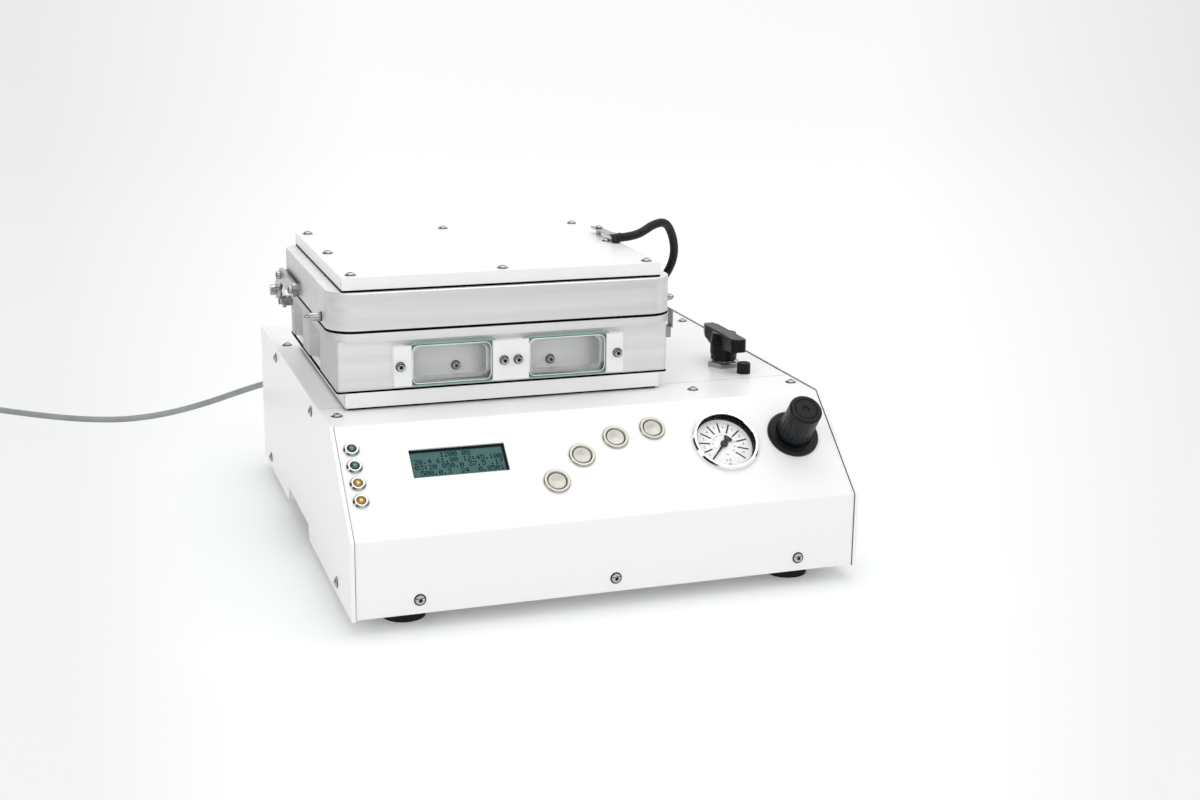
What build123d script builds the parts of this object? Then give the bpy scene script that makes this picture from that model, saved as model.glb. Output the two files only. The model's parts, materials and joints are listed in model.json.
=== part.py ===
# Laboratory evaporator: a heated, windowed chamber with a hinged lid, on a low sheet-metal housing
# that carries a display, four push buttons, four lamps, a pressure gauge, a regulator and a valve.
# Millimetres, +Z up, +X to the right and +Y to the back, seen from the front.
# Pieces are modelled with X counted from the housing's middle and Y from the front edge of the side
# panels. save() then moves them all alike, so that the origin is on the bench under the machine's middle.
import os
from math import asin, atan, cos, pi, radians, sin, tan

from build123d import *

# Housing
housing_width = 420.0
housing_depth = 460.0
housing_height = 131.0
bench_gap = 12.0            # bench to the side panels' lower edge
front_height = 62.5         # upright part of the front
slope_run = 80.0            # how far back the sloped face reaches
side_panel_t = 3.0
sheet_t = 1.5
panel_proud = 1.0           # side panels stand out past the covers
cover_gap = 0.6             # between a cover's end and a side panel
seam_y = 137.3              # joint of the front cover and the rear deck
seam_gap = 0.4
seam_lip = 10.0
bend_r = 1.2
panel_corner_r = 2.0
grip_front = 196.0          # finger cut-out in the side panels' lower edge
grip_back = 303.0
grip_height = 13.0
grip_slant = 3.0
grip_depth = 24.0           # how far the cut-out reaches in past a side panel
flange_height = 20.0        # upturned edge of the bottom pan
rail_width = 16.0
rail_t = 2.0
rail_drop = 15.0
rail_front = 95.0
rail_back_inset = 15.0

# Clearances
hole_gap = 0.1              # round a barrel, neck or shank
cut_gap = 0.2               # round a body in a sheet's cut-out, each side
running_gap = 0.05          # round a turning shaft
slide_gap = 0.08            # round a sliding shaft
spare_depth = 0.5           # below a screw or plunger in its hole

# Rubber feet
foot_r = 19.0
foot_low_r = 17.0
foot_height = bench_gap + panel_proud
foot_side_inset = 47.0      # from the housing's side to a foot's middle
foot_inset = 35.0
foot_recess_r = 5.5
foot_recess_h = 7.0
foot_screw_l = 10.0

# Housing screws, pan head
screw_head_r = 3.9
screw_head_h = 2.2
screw_edge_h = 0.9
screw_bevel = 1.5
screw_r = 2.0
screw_hole_r = 2.15
screw_length = 7.0
head_sides = 12             # small screws have flat sides
shank_sides = 6
front_screw_inset = 52.5    # from the housing's side, as are the next three
front_screw_z = 24.0
pan_screw_z = 22.0
pan_screw_front = 62.0
pan_screw_back = 46.3       # from the housing's back
rail_screw_ys = (166.5, 362.0)
deck_screw_inset = 12.0
extra_deck_screw_inset = 103.5
rear_screw_inset = 20.0
front_deck_screw_y = 113.0
rear_deck_screw_y = 372.0

# Display
display_u = -113.8          # places on the sloped face: u along X, s up the slope
display_s = 65.3
display_w = 77.0
display_h = 26.2
display_frame = (97.0, 39.0, 8.0)
display_board = (98.0, 60.0, 1.6)
display_recess = 2.6
screen_t = 1.6
screen_margin = 1.0
standoff_r = 2.6
standoff_places = (46.0, 27.0)

# Lamps
lamp_inset = 14.0           # from the housing's side
lamp_first_s = 35.7
lamp_pitch = 15.7
lamp_count = 4
lamp_flange_r = 6.5
lamp_flange_h = 2.4
lamp_edge_h = 0.9
lamp_bevel = 1.6
lamp_mouth = 0.9
lamp_barrel_r = 3.9
lamp_lens_r = 3.1
lamp_lens_base = 1.4
lamp_lens_dome = 1.2
lamp_depth = 9.0

# Push buttons
button_places = {"enter": (-40.3, 37.7), "down": (-14.5, 59.6), "up": (17.3, 73.8), "cursor": (50.6, 79.5)}
button_flange_r = 11.0
button_flange_h = 1.9
button_barrel_r = 9.4
button_depth = 22.0
button_groove_r = 8.6
button_groove_z = 0.2
button_edge_h = 1.0
button_bevel = 0.9
button_cap_r = 7.4
button_cap_gap = 0.3
button_cap_proud = 1.1
button_cap_l = 8.0
button_cap_bevel = 0.5
button_cap_rim = 1.4
button_dish = 0.5
button_travel = 2.0
button_nut_af = 24.0
nut_t = 4.0

# Pressure gauge
gauge_to_regulator = 61.0   # along X
gauge_s = 61.3
gauge_r = 28.5
gauge_bezel_h = 3.4
gauge_edge_h = 1.9
gauge_bevel = 1.4
gauge_lip = 0.7
gauge_case_r = 26.0
gauge_depth = 28.0
gauge_bore_r = 24.8
gauge_floor = 5.4
dial_t = 0.8
glass_t = 1.6
glass_sink = 1.0
needle_t = 0.6
needle_lift = 1.2
needle_length = 17.5
needle_tail = 8.5
needle_tail_w = 6.4
needle_w = 1.6
needle_neck = 3.0
needle_hub_r = 2.1
needle_hub_h = 1.1
needle_sunk = 3.0
needle_shaft_r = 0.8
needle_rest = 225.0         # degrees from the dial's right, at zero pressure
gauge_stem_r = 5.0
gauge_stem_l = 14.0
gauge_bar_w = 12.0
gauge_bar_t = 2.0
gauge_bar_gap = 6.0
gauge_leg_gap = 4.0

# Regulator
regulator_inset = 39.0      # from the housing's side
regulator_s = 62.3
ring_r = 22.0
ring_h = 3.6
ring_bore_r = 14.0
ring_edge_h = 1.8
ring_bevel = 1.6
ring_lip_drop = 1.0
knob_low_r = 15.0
knob_top_r = 13.9
knob_height = 33.6
knob_gap = 0.5
knob_skirt = 6.0
knob_step = 0.8
knob_bevel = 1.4
knob_groove = 0.6
knob_ribs = 20
knob_rib_r = 0.7
knob_ring_r = 9.5
knob_dimple_r = 3.2
knob_dimple = 1.2
knob_pull = 3.0
knob_engaged = 20.0
spindle_r = 4.0
spindle_depth = 14.5
regulator_neck_r = 13.6
regulator_block = (40.0, 40.0, 46.0)
regulator_corner_r = 4.0
regulator_nut_af = 36.0

# Valve on the rear deck
valve_inset = 44.5          # from the housing's side
valve_y = 187.0
valve_nut_af = 26.0
valve_nut_h = 4.4
valve_nut_bevel = 0.6
valve_neck_r = 9.0
valve_neck_h = 5.0
valve_block = (34.0, 34.0, 28.0)
valve_port_r = 5.0
valve_port_l = 9.0
handle_gap = 0.6
handle_hub_r = 12.3
handle_top = 31.5           # above the deck
handle_hub_h = 15.0
handle_reach = 38.0
handle_width = 14.0
handle_end_t = 11.5
handle_nose_t = 7.5
handle_nose_w = 9.0
handle_taper = 9.0
handle_belly = 4.0
handle_bevel = 1.0
handle_groove = 0.6
handle_neck = 5.0
stem_r = 4.0
stem_depth = 17.0
silencer_inset = 38.5       # from the housing's side
silencer_y = 155.0
silencer_r = 6.0
silencer_h = 9.5
silencer_stem_r = 3.0
silencer_stem_l = 7.5
silencer_bevel = 0.7
silencer_dish_r = 4.4

# Chamber, its tray and its rubber buffers
chamber_x = -54.0           # middle of the chamber
chamber_front = 123.0       # front of its flange and lid
chamber_w = 293.0
chamber_d = 242.0
chamber_corner_r = 22.0
box_inset = 5.5             # sides of the box behind the flange
box_front_inset = 3.5
box_corner_r = 3.0
tray_gap = 2.0              # deck to the tray's rim
tray_h = 12.2
tray_side_inset = 11.75     # inside the flange's edge
tray_front_inset = 2.4
tray_back_inset = 6.6
buffer_r = 8.0
buffer_x = 94.0
buffer_front_inset = 27.0   # from the flange's front and back
buffer_back_inset = 40.0
box_h = 42.3                # tray to the flange
flange_t = 7.7
cavity_wall = 12.0
cavity_floor = 4.8
pocket_depth = 9.0
pocket_roof = 4.0
pocket_spans = ((156.5, 101.5), (67.5, 14.5))   # from the box's back
gasket_t = 1.3
gasket_inset = 2.5
gasket_w = 9.0
closing_gap = 0.2

# Chamber windows
window_places = (-47.7, 50.6)   # from the chamber's middle
window_up = 21.2            # above the tray
window_w = 75.0
window_h = 35.4
window_glass_t = 5.0
window_corner_r = 7.0
window_slot_w = 60.0
window_slot_h = 28.0
clamp_h = 33.0
clamp_over = 3.6
clamp_t = 2.5
clamp_end_w = 14.4
clamp_gap = 0.3
clamp_screw_from_edge = 9.3
cap_head_r = 3.5
cap_head_h = 3.6
cap_screw_r = 2.0
cap_socket_r = 1.7
cap_socket_h = 1.8
cap_length = 8.0

# Sample carrier inside the chamber
carrier_front_gap = 12.0
carrier_side_gap = 9.0
carrier_h = 35.0
well_w = 86.5
well_d = 128.5
well_depth = 16.0
well_pitch = 104.0
well_corner_r = 4.0
carrier_screw_dxs = (-37.6, -10.3, 44.4)    # from the chamber's middle
carrier_screw_up = 7.2

# Lid
lid_h = 30.8
lid_wall = 24.0
lid_recess = 14.0
lid_recess_r = 6.0
lid_bevel = 0.8
nozzle_plate_t = 4.0
nozzle_r = 2.0
nozzle_l = 5.0
nozzle_pitch = 32.0
nozzle_count = 4
cover_side_inset = 11.25    # inside the lid's edge
cover_inset = 5.0           # at its front and back
cover_h = 11.2
cover_lift = 0.6
boss_r = 5.0
cover_screw_inset = (9.25, 12.0)
side_pin_back = 39.0        # behind the lid's front
side_pin_up = 5.6
side_pin_r = 2.7
side_pin_l = 14.0
side_pin_shank_r = 2.0
side_pin_sunk = 8.0
side_pin_nose = 7.0         # length of the bullet nose and of its steps, from the tip
side_pin_mid = 4.0
side_pin_mid_r = 2.2
side_pin_tip = 1.2
side_pin_tip_r = 1.1

# Hinges, one each side
hinge_back = 5.5            # axis behind the lid's back
hinge_drop = 3.0            # axis below the flange
hinge_plate_t = 3.0
hinge_eye_r = 8.0
hinge_pin_r = 3.0
hinge_pin_gap = 0.05
hinge_layer_gap = 0.4
hinge_base_spot = (-16.0, -7.3)     # from the axis, along Y and Z
hinge_lid_spots = ((-28.5, 19.0), (-97.7, 19.0))
hinge_foot_r = 6.5
hinge_spacer_r = 5.0
hinge_head_r = 5.0
hinge_head_h = 5.0
hinge_end_t = 1.5
hinge_end_r = 4.4

# Lid cable, its clamp on the cover and its gland in the deck
clip_inset = 4.85           # from the cover's right edge
clip_back = 110.0           # behind the lid's front
clip_l = 58.0
clip_w = 8.0
clip_t = 1.5
clip_foot_r = 2.4
clip_foot_h = 4.6
clip_screw_dys = (6.0, 46.0)
clip_screw_r = 1.5
clip_screw_head_r = 3.0
sleeve_r = 4.1
gland_to_clip = (45.6, 67.0)    # along X and Y
gland_r = 9.0
gland_h = 15.5
gland_stem_r = 6.1
gland_stem_l = 10.0
gland_collar_h = 6.0
gland_step = 1.5
gland_nose = 3.0
lid_cable_r = 4.0
ferrule_r = 4.2
ferrule_l = 7.5
tongue = (6.8, 5.5)
lid_cable_points = (        # from the gland's middle and the deck
    (0.0, 0.0, 15.5), (0.0, 0.0, 28.0), (6.0, -1.5, 42.0), (19.0, -5.0, 54.0), (28.5, -11.0, 69.5),
    (30.5, -19.5, 87.0), (23.5, -30.5, 104.0), (11.5, -41.5, 116.5), (-3.5, -52.0, 121.0),
    (-18.0, -60.5, 118.5), (-30.5, -66.5, 114.8), (-41.0, -69.0, 113.4),
)
cord_sides = 10             # cords have flat sides too

# Lid switch on the chamber's right side
switch_back = 22.0          # behind the flange's front
switch_size = (8.0, 14.0, 9.0)
switch_drop = 15.5          # below the flange
switch_leaf_t = 1.2
switch_leaf_w = 10.0
switch_leaf_out = 5.0
switch_leaf_drop = 0.2      # below the flange's top

# Side cover plate, on the right side panel
plate_front = 8.0
plate_back = 128.0
plate_low = 36.0
plate_high = 72.0
plate_corner_r = 3.0

# Rear fittings
inlet_x = -150.0
inlet_z = 66.0
inlet_flange = (50.0, 31.0)
inlet_flange_t = 2.0
inlet_body = (27.4, 20.6)
inlet_recess = (24.8, 17.8)
inlet_depth = 17.0
inlet_back = 4.0
inlet_pin = (2.0, 4.0)
inlet_corner_r = 4.0
inlet_pin_places = ((-7.0, -2.0), (0.0, 2.0), (7.0, -2.0))
inlet_pin_l = 14.0
rocker_x = -95.0
rocker_frame = (17.0, 23.0)
rocker_frame_t = 2.0
rocker_corner_r = 1.5
rocker_size = (10.4, 15.4)
rocker_depth = 10.0
rocker_tilt = 16.0          # whole swing from off to on
rocker_skirt = 4.5
rocker_belly = 1.3
rocker_shoulder = 1.5
rocker_lean = 0.8
rocker_crest = 2.4
rocker_dip = 1.2
rocker_wall = 1.2
rocker_axle_r = 1.2
rocker_gap = 0.4
rocker_axle_sink = 3.2
rocker_axle_end = 0.8
port_x = 120.0
port_z = 70.0
port_r = 4.0
port_bore_r = 2.5
port_out = 24.0
port_collar_r = 8.0
port_collar_h = 5.0
port_inside = 16.0
hose_r = 4.0
hose_wall = 1.5
outlet_drop = 5.5           # end of the chamber's hose stub, below the deck
hose_from_port = ((0.0, 0.0, 0.0), (0.0, -18.0, 0.0), (-12.0, -43.0, 2.0), (-38.0, -66.0, 6.0))
hose_to_outlet = (
    (102.0, 17.5, -54.5), (64.0, 8.5, -47.5), (30.0, 3.5, -39.5), (8.0, 1.0, -28.5), (0.0, 0.0, -12.5),
    (0.0, 0.0, 0.0),
)

# Inner modules
supply_size = (98.0, 168.0, 38.0)
supply_side_inset = 80.0    # from the housing's side to its middle
supply_y = 250.0
supply_foot_h = 3.0
board_size = (150.0, 110.0, 1.6)
board_place = (20.0, 195.0)
board_foot_h = 10.0
module_foot_r = 3.0
module_foot_inset = 8.0
board_chips = (             # place on the board, then size
    (-40.0, 20.0, 30.0, 30.0, 12.0), (20.0, -15.0, 40.0, 24.0, 8.0), (45.0, 30.0, 22.0, 18.0, 16.0),
)

# Mains connector, lead, coil and plug
connector_nose = (24.0, 17.0)
connector_nose_l = 16.0
connector_body = (27.0, 21.0)
connector_body_l = 24.0
connector_tail_l = 24.0
connector_tail_r = 7.0
connector_corner_r = 3.0
connector_gap = 0.4
lead_d = 6.5
lead_points = (             # from the connector's end in X and Y, and above the bench
    (0.0, 0.0, 66.0), (0.0, 20.0, 66.0), (-7.5, 49.0, 63.0), (-30.0, 79.0, 54.0), (-62.0, 107.0, 38.0),
    (-100.0, 129.0, 20.3), (-142.0, 143.0, 8.0), (-181.0, 150.0, 3.6), (-216.0, 160.5, 3.35),
    (-249.0, 180.0, 3.3), (-281.0, 204.5, 3.3), (-313.0, 232.0, 3.3), (-338.0, 254.5, 3.3),
    (-354.0, 272.0, 3.3),
)
coil_pitch = 7.0
coil_outer_r = 47.0
coil_turns_in = 3
coil_sides = 6
coil_tail = 13.0
gap_step = 1.7              # between the points on which the coil's gaps are measured
plug_body = (35.0, 16.0)
plug_body_l = 30.0
plug_corner_r = 5.0
plug_shoulder = 6.0
plug_neck = (16.0, 12.5)
plug_relief_l = 36.0
plug_relief_r = 6.5
plug_pin_r = 2.0
plug_pin_l = 19.0
plug_pin_places = ((-9.5, 0.0), (0.0, 5.0), (9.5, 0.0))
relief_wall = 0.5
bench_clearance = 0.05
plug_gap = 0.12

# Worked-out sizes
slope = atan((housing_height - front_height) / slope_run)
panel_top = bench_gap + housing_height
knee_z = bench_gap + front_height
deck_z = panel_top - panel_proud
pan_z = bench_gap + panel_proud
cover_half = housing_width / 2 - side_panel_t - cover_gap
inner_half = housing_width / 2 - side_panel_t
back_face = housing_depth - panel_proud
rail_z = deck_z - sheet_t
rail_back = housing_depth - rail_back_inset
foot_x = housing_width / 2 - foot_side_inset
front_screw_x = housing_width / 2 - front_screw_inset
deck_screw_x = housing_width / 2 - deck_screw_inset
extra_deck_screw_x = housing_width / 2 - extra_deck_screw_inset
rear_screw_x = housing_width / 2 - rear_screw_inset
pan_screw_ys = (pan_screw_front, housing_depth - pan_screw_back)
lamp_u = lamp_inset - housing_width / 2
regulator_u = housing_width / 2 - regulator_inset
gauge_u = regulator_u - gauge_to_regulator
valve_x = housing_width / 2 - valve_inset
silencer_x = housing_width / 2 - silencer_inset
supply_place = (supply_side_inset - housing_width / 2, supply_y)
rail_screw_z = rail_z - rail_drop / 2
box_x0 = chamber_x - chamber_w / 2 + box_inset
box_x1 = chamber_x + chamber_w / 2 - box_inset
box_y0 = chamber_front + box_front_inset
box_y1 = chamber_front + chamber_d - box_front_inset
tray_w = chamber_w - 2 * tray_side_inset
tray_d = chamber_d - tray_front_inset - tray_back_inset
tray_front = chamber_front + tray_front_inset
tray_z = deck_z + tray_gap + tray_h
floor_z = tray_z + cavity_floor
flange_z = tray_z + box_h
flange_top = flange_z + flange_t
window_z = tray_z + window_up
window_xs = [chamber_x + place for place in window_places]
carrier_screw_z = floor_z + carrier_screw_up
chamber_mid_y = chamber_front + chamber_d / 2
chamber_back = chamber_front + chamber_d
outlet_y = box_y1 - cavity_wall - carrier_front_gap / 2     # behind the sample carrier
lid_z = flange_top + gasket_t + closing_gap
lid_top = lid_z + lid_h
cover_z = lid_top + cover_lift
cover_top = cover_z + cover_h
cover_w = chamber_w - 2 * cover_side_inset
cover_d = chamber_d - 2 * cover_inset
side_pin_y = chamber_front + side_pin_back
hinge_y = chamber_back + hinge_back
hinge_z = flange_z - hinge_drop
hinge_base_screw = (hinge_y + hinge_base_spot[0], hinge_z + hinge_base_spot[1])
hinge_lid_screws = [(hinge_y + y, hinge_z + z) for y, z in hinge_lid_spots]
switch_y = chamber_front + switch_back
switch_z = flange_z - switch_drop
switch_leaf_top = flange_top - switch_leaf_drop
clip_x = chamber_x + cover_w / 2 - clip_inset
clip_front = chamber_front + clip_back
gland_x = clip_x + gland_to_clip[0]
gland_y = clip_front + gland_to_clip[1]
lid_cable_route = [(gland_x + x, gland_y + y, deck_z + z) for x, y, z in lid_cable_points]
hinge_lid_out = 2 * hinge_plate_t + hinge_layer_gap
hinge_base_screw_l = hinge_plate_t + box_inset + cap_length
hinge_lid_screw_l = hinge_lid_out + cap_length
clamp_screw_l = window_glass_t + clamp_t + cap_length
spindle_top = ring_h + knob_gap + knob_pull + knob_engaged
clip_hole_r = clip_screw_r + 0.1
cap_hole_r = cap_screw_r + 0.1
hose_start = back_face - port_inside
hose_outlet = (chamber_x, outlet_y, deck_z - outlet_drop)
hose_route = [(port_x + x, hose_start + y, port_z + z) for x, y, z in hose_from_port]
hose_route += [(hose_outlet[0] + x, hose_outlet[1] + y, hose_outlet[2] + z) for x, y, z in hose_to_outlet]
lead_start = back_face + inlet_flange_t + connector_body_l + connector_tail_l
lead_route = [(inlet_x + x, lead_start + y, z) for x, y, z in lead_points]
left_edge = chamber_x - chamber_w / 2 - side_pin_l
right_edge = housing_width / 2 + screw_head_h
origin_x = (left_edge + right_edge) / 2
front_edge = panel_proud - screw_head_h
rear_edge = back_face + port_out
origin_y = (front_edge + rear_edge) / 2

ON_BASE = (Align.CENTER, Align.CENTER, Align.MIN)


# Helpers

def save(name, *solids):
    """Write one named piece, or a group of like pieces, as a STEP file."""
    moved = [Pos(-origin_x, -origin_y, 0) * solid for solid in solids]
    whole = moved[0] if len(moved) == 1 else Compound(children=moved)
    export_step(whole, f"parts/{name}.step")


def box(x0, x1, y0, y1, z0, z1):
    """A block between two corners."""
    return Pos((x0 + x1) / 2, (y0 + y1) / 2, (z0 + z1) / 2) * Box(x1 - x0, y1 - y0, z1 - z0)


def rod(radius, low, high):
    """A round bar on the Z axis."""
    return Pos(0, 0, low) * Cylinder(radius, high - low, align=ON_BASE)


def pipe(radius, bore, low, high):
    """A round tube on the Z axis."""
    return rod(radius, low, high) - rod(bore, low, high)


def turned(*points):
    """A closed outline in radius and height, turned about the Z axis."""
    return revolve(Plane.XZ * make_face(Polyline(*points, close=True)), Axis.Z)


def hexagon(across_flats, bore, low, high):
    """A hexagon nut on the Z axis."""
    outline = RegularPolygon(across_flats / 2, 6, major_radius=False)
    return Pos(0, 0, low) * extrude(outline, amount=high - low) - rod(bore, low, high)


def rounded(width, depth, radius, low, high):
    """A block with rounded upright corners, centred on the Z axis."""
    return Pos(0, 0, low) * extrude(RectangleRounded(width, depth, radius), amount=high - low)


def side_profile(points, x0, x1):
    """A closed outline in Y and Z, drawn out along X."""
    outline = Plane.YZ.offset(x0) * make_face(Polyline(*points, close=True))
    return extrude(outline, amount=x1 - x0)


def bends(part, axis, places):
    """The edges along an axis that lie nearest to the given points."""
    along = part.edges().filter_by(axis)
    return [min(along, key=lambda edge: (edge.center() - Vector(*place)).length) for place in places]


def drilled(part, radius, places, depth=10.0):
    """A part with round holes that run inwards from each place."""
    for place in places:
        part -= place * rod(radius, -depth, 1.0)
    return part


def prism(radius, sides, low, high):
    """A bar with flat sides on the Z axis, inside the given radius."""
    return Pos(0, 0, low) * extrude(RegularPolygon(radius, sides), amount=high - low)


def pan_screw(length=screw_length, head_r=screw_head_r, shank_r=screw_r):
    """A pan head screw whose head sits on Z = 0."""
    edge = Pos(0, 0, screw_edge_h) * RegularPolygon(head_r, head_sides)
    top = Pos(0, 0, screw_head_h) * RegularPolygon(head_r - screw_bevel, head_sides)
    head = prism(head_r, head_sides, 0, screw_edge_h) + loft([edge, top], ruled=True)
    return head + prism(shank_r, shank_sides, -length, 0)


def cap_screw(length=cap_length):
    """A socket cap screw whose head sits on Z = 0."""
    head = prism(cap_head_r, head_sides, 0, cap_head_h)
    head -= prism(cap_socket_r, shank_sides, cap_head_h - cap_socket_h, cap_head_h)
    return head + prism(cap_screw_r, shank_sides, -length, 0)


def on_slope(u, s):
    """A place on the sloped face, with Z outwards."""
    return slope_plane.location * Pos(u, s, 0)


def facing(x, y, z, direction):
    """A place whose Z axis points along a direction."""
    return Plane(origin=(x, y, z), z_dir=direction).location


def route_radii(points):
    """Bend radii for a cord: 0.45 of the shorter run, divided by the tangent of half the turn."""
    steps = [Vector(*b) - Vector(*a) for a, b in zip(points, points[1:])]
    radii = []
    for before, after in zip(steps, steps[1:]):
        half_turn = radians(before.get_angle(after)) / 2
        radii.append(0.45 * min(before.length, after.length) / tan(half_turn))
    return radii


def cord_path(points):
    """Straight runs joined by tangent arcs."""
    return FilletPolyline(*points, radius=route_radii(points))


def cord_tube(points, radius, bore=0.0):
    """A tube along a cord's route, with its bends printed and its volume checked."""
    path = cord_path(points)
    start = Vector(*points[0])
    section = Plane(origin=start, z_dir=Vector(*points[1]) - start)
    tube = sweep(section * RegularPolygon(radius, cord_sides), path=path)
    if bore:
        tube -= sweep(section * RegularPolygon(bore, cord_sides), path=path)
    area = cord_sides / 2 * sin(2 * pi / cord_sides) * (radius**2 - bore**2)
    print("  least bend radius", round(min(route_radii(points)), 1), "length", round(path.length, 1),
          "volume over section times length", round(tube.volume / (area * path.length), 4))
    return tube


# The housing's outline, seen from the side

def shell_line(inset, back):
    """Front, slope and top of the covers, a given depth inside the side panels' edge."""
    lift = inset / cos(slope)
    low_knee = (inset, knee_z + inset * tan(slope) - lift)
    top = panel_top - inset
    high_knee = ((top - knee_z + lift) / tan(slope), top)
    return [(inset, pan_z), low_knee, high_knee, (back, top)]


outer_line = shell_line(panel_proud, seam_y)
slope_plane = Plane(
    origin=(0, *outer_line[1]), x_dir=(1, 0, 0), z_dir=(0, -sin(slope), cos(slope))
)

front_places = [
    facing(x, panel_proud, front_screw_z, (0, -1, 0)) for x in (-front_screw_x, 0, front_screw_x)
]
front_deck_places = [
    Pos(x, front_deck_screw_y, deck_z) for x in (-deck_screw_x, extra_deck_screw_x, deck_screw_x)
]
rear_deck_places = [Pos(x, rear_deck_screw_y, deck_z) for x in (-deck_screw_x, deck_screw_x)]
rear_places = [facing(x, back_face, front_screw_z, (0, 1, 0)) for x in (-rear_screw_x, 0, rear_screw_x)]
lamp_places = [on_slope(lamp_u, lamp_first_s + number * lamp_pitch) for number in range(lamp_count)]
foot_places = [
    Pos(x, y, 0) for x in (-foot_x, foot_x) for y in (foot_inset, housing_depth - foot_inset)
]


def side_places(side):
    """Screw places on a side panel, on the left (-1) or the right (1)."""
    lower = [facing(side * housing_width / 2, y, pan_screw_z, (side, 0, 0)) for y in pan_screw_ys]
    upper = [facing(side * housing_width / 2, y, rail_screw_z, (side, 0, 0)) for y in rail_screw_ys]
    return lower + upper


def make_bottom_pan():
    """A floor with four upturned edges for the covers and side panels, open at the finger cut-outs."""
    front = panel_proud + sheet_t
    back = back_face - sheet_t
    pan = box(-inner_half, inner_half, front, back, pan_z, pan_z + flange_height)
    pan -= box(
        -inner_half + sheet_t, inner_half - sheet_t, front + sheet_t, back - sheet_t,
        pan_z + sheet_t, pan_z + flange_height,
    )
    for x in (-inner_half, inner_half - grip_depth):
        pan -= box(x, x + grip_depth, grip_front, grip_back, pan_z - 1, pan_z + flange_height + 1)
    pan = drilled(pan, screw_hole_r, front_places + rear_places + side_places(-1) + side_places(1))
    return drilled(pan, screw_hole_r, [Pos(0, 0, pan_z + sheet_t) * place for place in foot_places])


def make_front_cover():
    """One folded sheet: the upright front, the sloped control face and a strip of the top."""
    inner_line = shell_line(panel_proud + sheet_t, seam_y - seam_gap / 2)
    outer = shell_line(panel_proud, seam_y - seam_gap / 2)
    cover = side_profile(outer + inner_line[::-1], -cover_half, cover_half)
    cover = fillet(bends(cover, Axis.X, [(0, *outer[1]), (0, *outer[2])]), bend_r + sheet_t)
    cover = fillet(bends(cover, Axis.X, [(0, *inner_line[1]), (0, *inner_line[2])]), bend_r)
    lip_half = inner_half - rail_width - rail_t
    lip_back = seam_y - seam_gap / 2
    cover += box(-lip_half, lip_half, lip_back - sheet_t, lip_back, deck_z - seam_lip, deck_z - sheet_t / 2)
    cutter = 4 * sheet_t
    cover -= on_slope(display_u, display_s) * Box(display_w, display_h, cutter)
    for place in lamp_places:
        cover -= place * Cylinder(lamp_barrel_r + hole_gap, cutter)
    for u, s in button_places.values():
        cover -= on_slope(u, s) * Cylinder(button_barrel_r + hole_gap, cutter)
    cover -= on_slope(gauge_u, gauge_s) * Cylinder(gauge_case_r + cut_gap, cutter)
    cover -= on_slope(regulator_u, regulator_s) * Cylinder(regulator_neck_r + hole_gap, cutter)
    return drilled(cover, screw_hole_r, front_places + front_deck_places)


def make_rear_deck():
    """The flat top behind the front cover, with a lip at the seam."""
    front = seam_y + seam_gap / 2
    deck = box(-cover_half, cover_half, front, back_face, deck_z - sheet_t, deck_z)
    lip_half = inner_half - rail_width - rail_t
    deck += box(-lip_half, lip_half, front, front + sheet_t, deck_z - seam_lip, deck_z - sheet_t / 2)
    cutter = 4 * sheet_t
    deck -= Pos(valve_x, valve_y, deck_z) * Cylinder(valve_neck_r + hole_gap, cutter)
    deck -= Pos(silencer_x, silencer_y, deck_z) * Cylinder(silencer_stem_r + hole_gap, cutter)
    deck -= Pos(gland_x, gland_y, deck_z) * Cylinder(gland_stem_r + hole_gap, cutter)
    deck -= Pos(hose_outlet[0], hose_outlet[1], deck_z) * Cylinder(hose_r + cut_gap, cutter)
    return drilled(deck, screw_hole_r, rear_deck_places)


def make_rear_panel():
    """The upright back, with cut-outs for the inlet, the switch and the vacuum port."""
    panel = box(-cover_half, cover_half, back_face - sheet_t, back_face, pan_z, rail_z)
    cutter = 4 * sheet_t
    around = 2 * cut_gap
    panel -= Pos(inlet_x, back_face, inlet_z) * Box(inlet_body[0] + around, cutter, inlet_body[1] + around)
    around = 2 * (rocker_gap + rocker_wall + cut_gap)
    panel -= Pos(rocker_x, back_face, inlet_z) * Box(rocker_size[0] + around, cutter, rocker_size[1] + around)
    panel -= facing(port_x, back_face, port_z, (0, 1, 0)) * Cylinder(port_r + hole_gap, cutter)
    return drilled(panel, screw_hole_r, rear_places)


def make_side_panel(side):
    """A flat plate with the housing's outline, a finger cut-out and a welded rail for the covers."""
    low = bench_gap
    grip_z = low + grip_height
    outline = [
        (0, low), (0, knee_z), (slope_run, panel_top), (housing_depth, panel_top), (housing_depth, low),
        (grip_back + grip_slant, low), (grip_back, grip_z), (grip_front, grip_z),
        (grip_front - grip_slant, low),
    ]
    outside = side * housing_width / 2
    inside = side * inner_half
    panel = side_profile(outline, min(outside, inside), max(outside, inside))
    mid = (outside + inside) / 2
    corners = [(mid, 0, knee_z), (mid, slope_run, panel_top), (mid, housing_depth, panel_top)]
    panel = fillet(bends(panel, Axis.X, corners), panel_corner_r)
    leg = side * (inner_half - rail_t)
    ledge = side * (inner_half - rail_width)
    rail = box(min(inside, leg), max(inside, leg), rail_front, rail_back, rail_z - rail_drop, rail_z)
    rail += box(min(inside, ledge), max(inside, ledge), rail_front, rail_back, rail_z - rail_t, rail_z)
    panel += rail
    panel = drilled(panel, screw_hole_r, side_places(side))
    return drilled(panel, screw_hole_r, front_deck_places + rear_deck_places)


def make_foot():
    """A tapered rubber foot with a recess for its screw."""
    return turned(
        (foot_recess_r, 0), (foot_low_r, 0), (foot_r, foot_height), (screw_hole_r, foot_height),
        (screw_hole_r, foot_recess_h), (foot_recess_r, foot_recess_h),
    )


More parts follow.
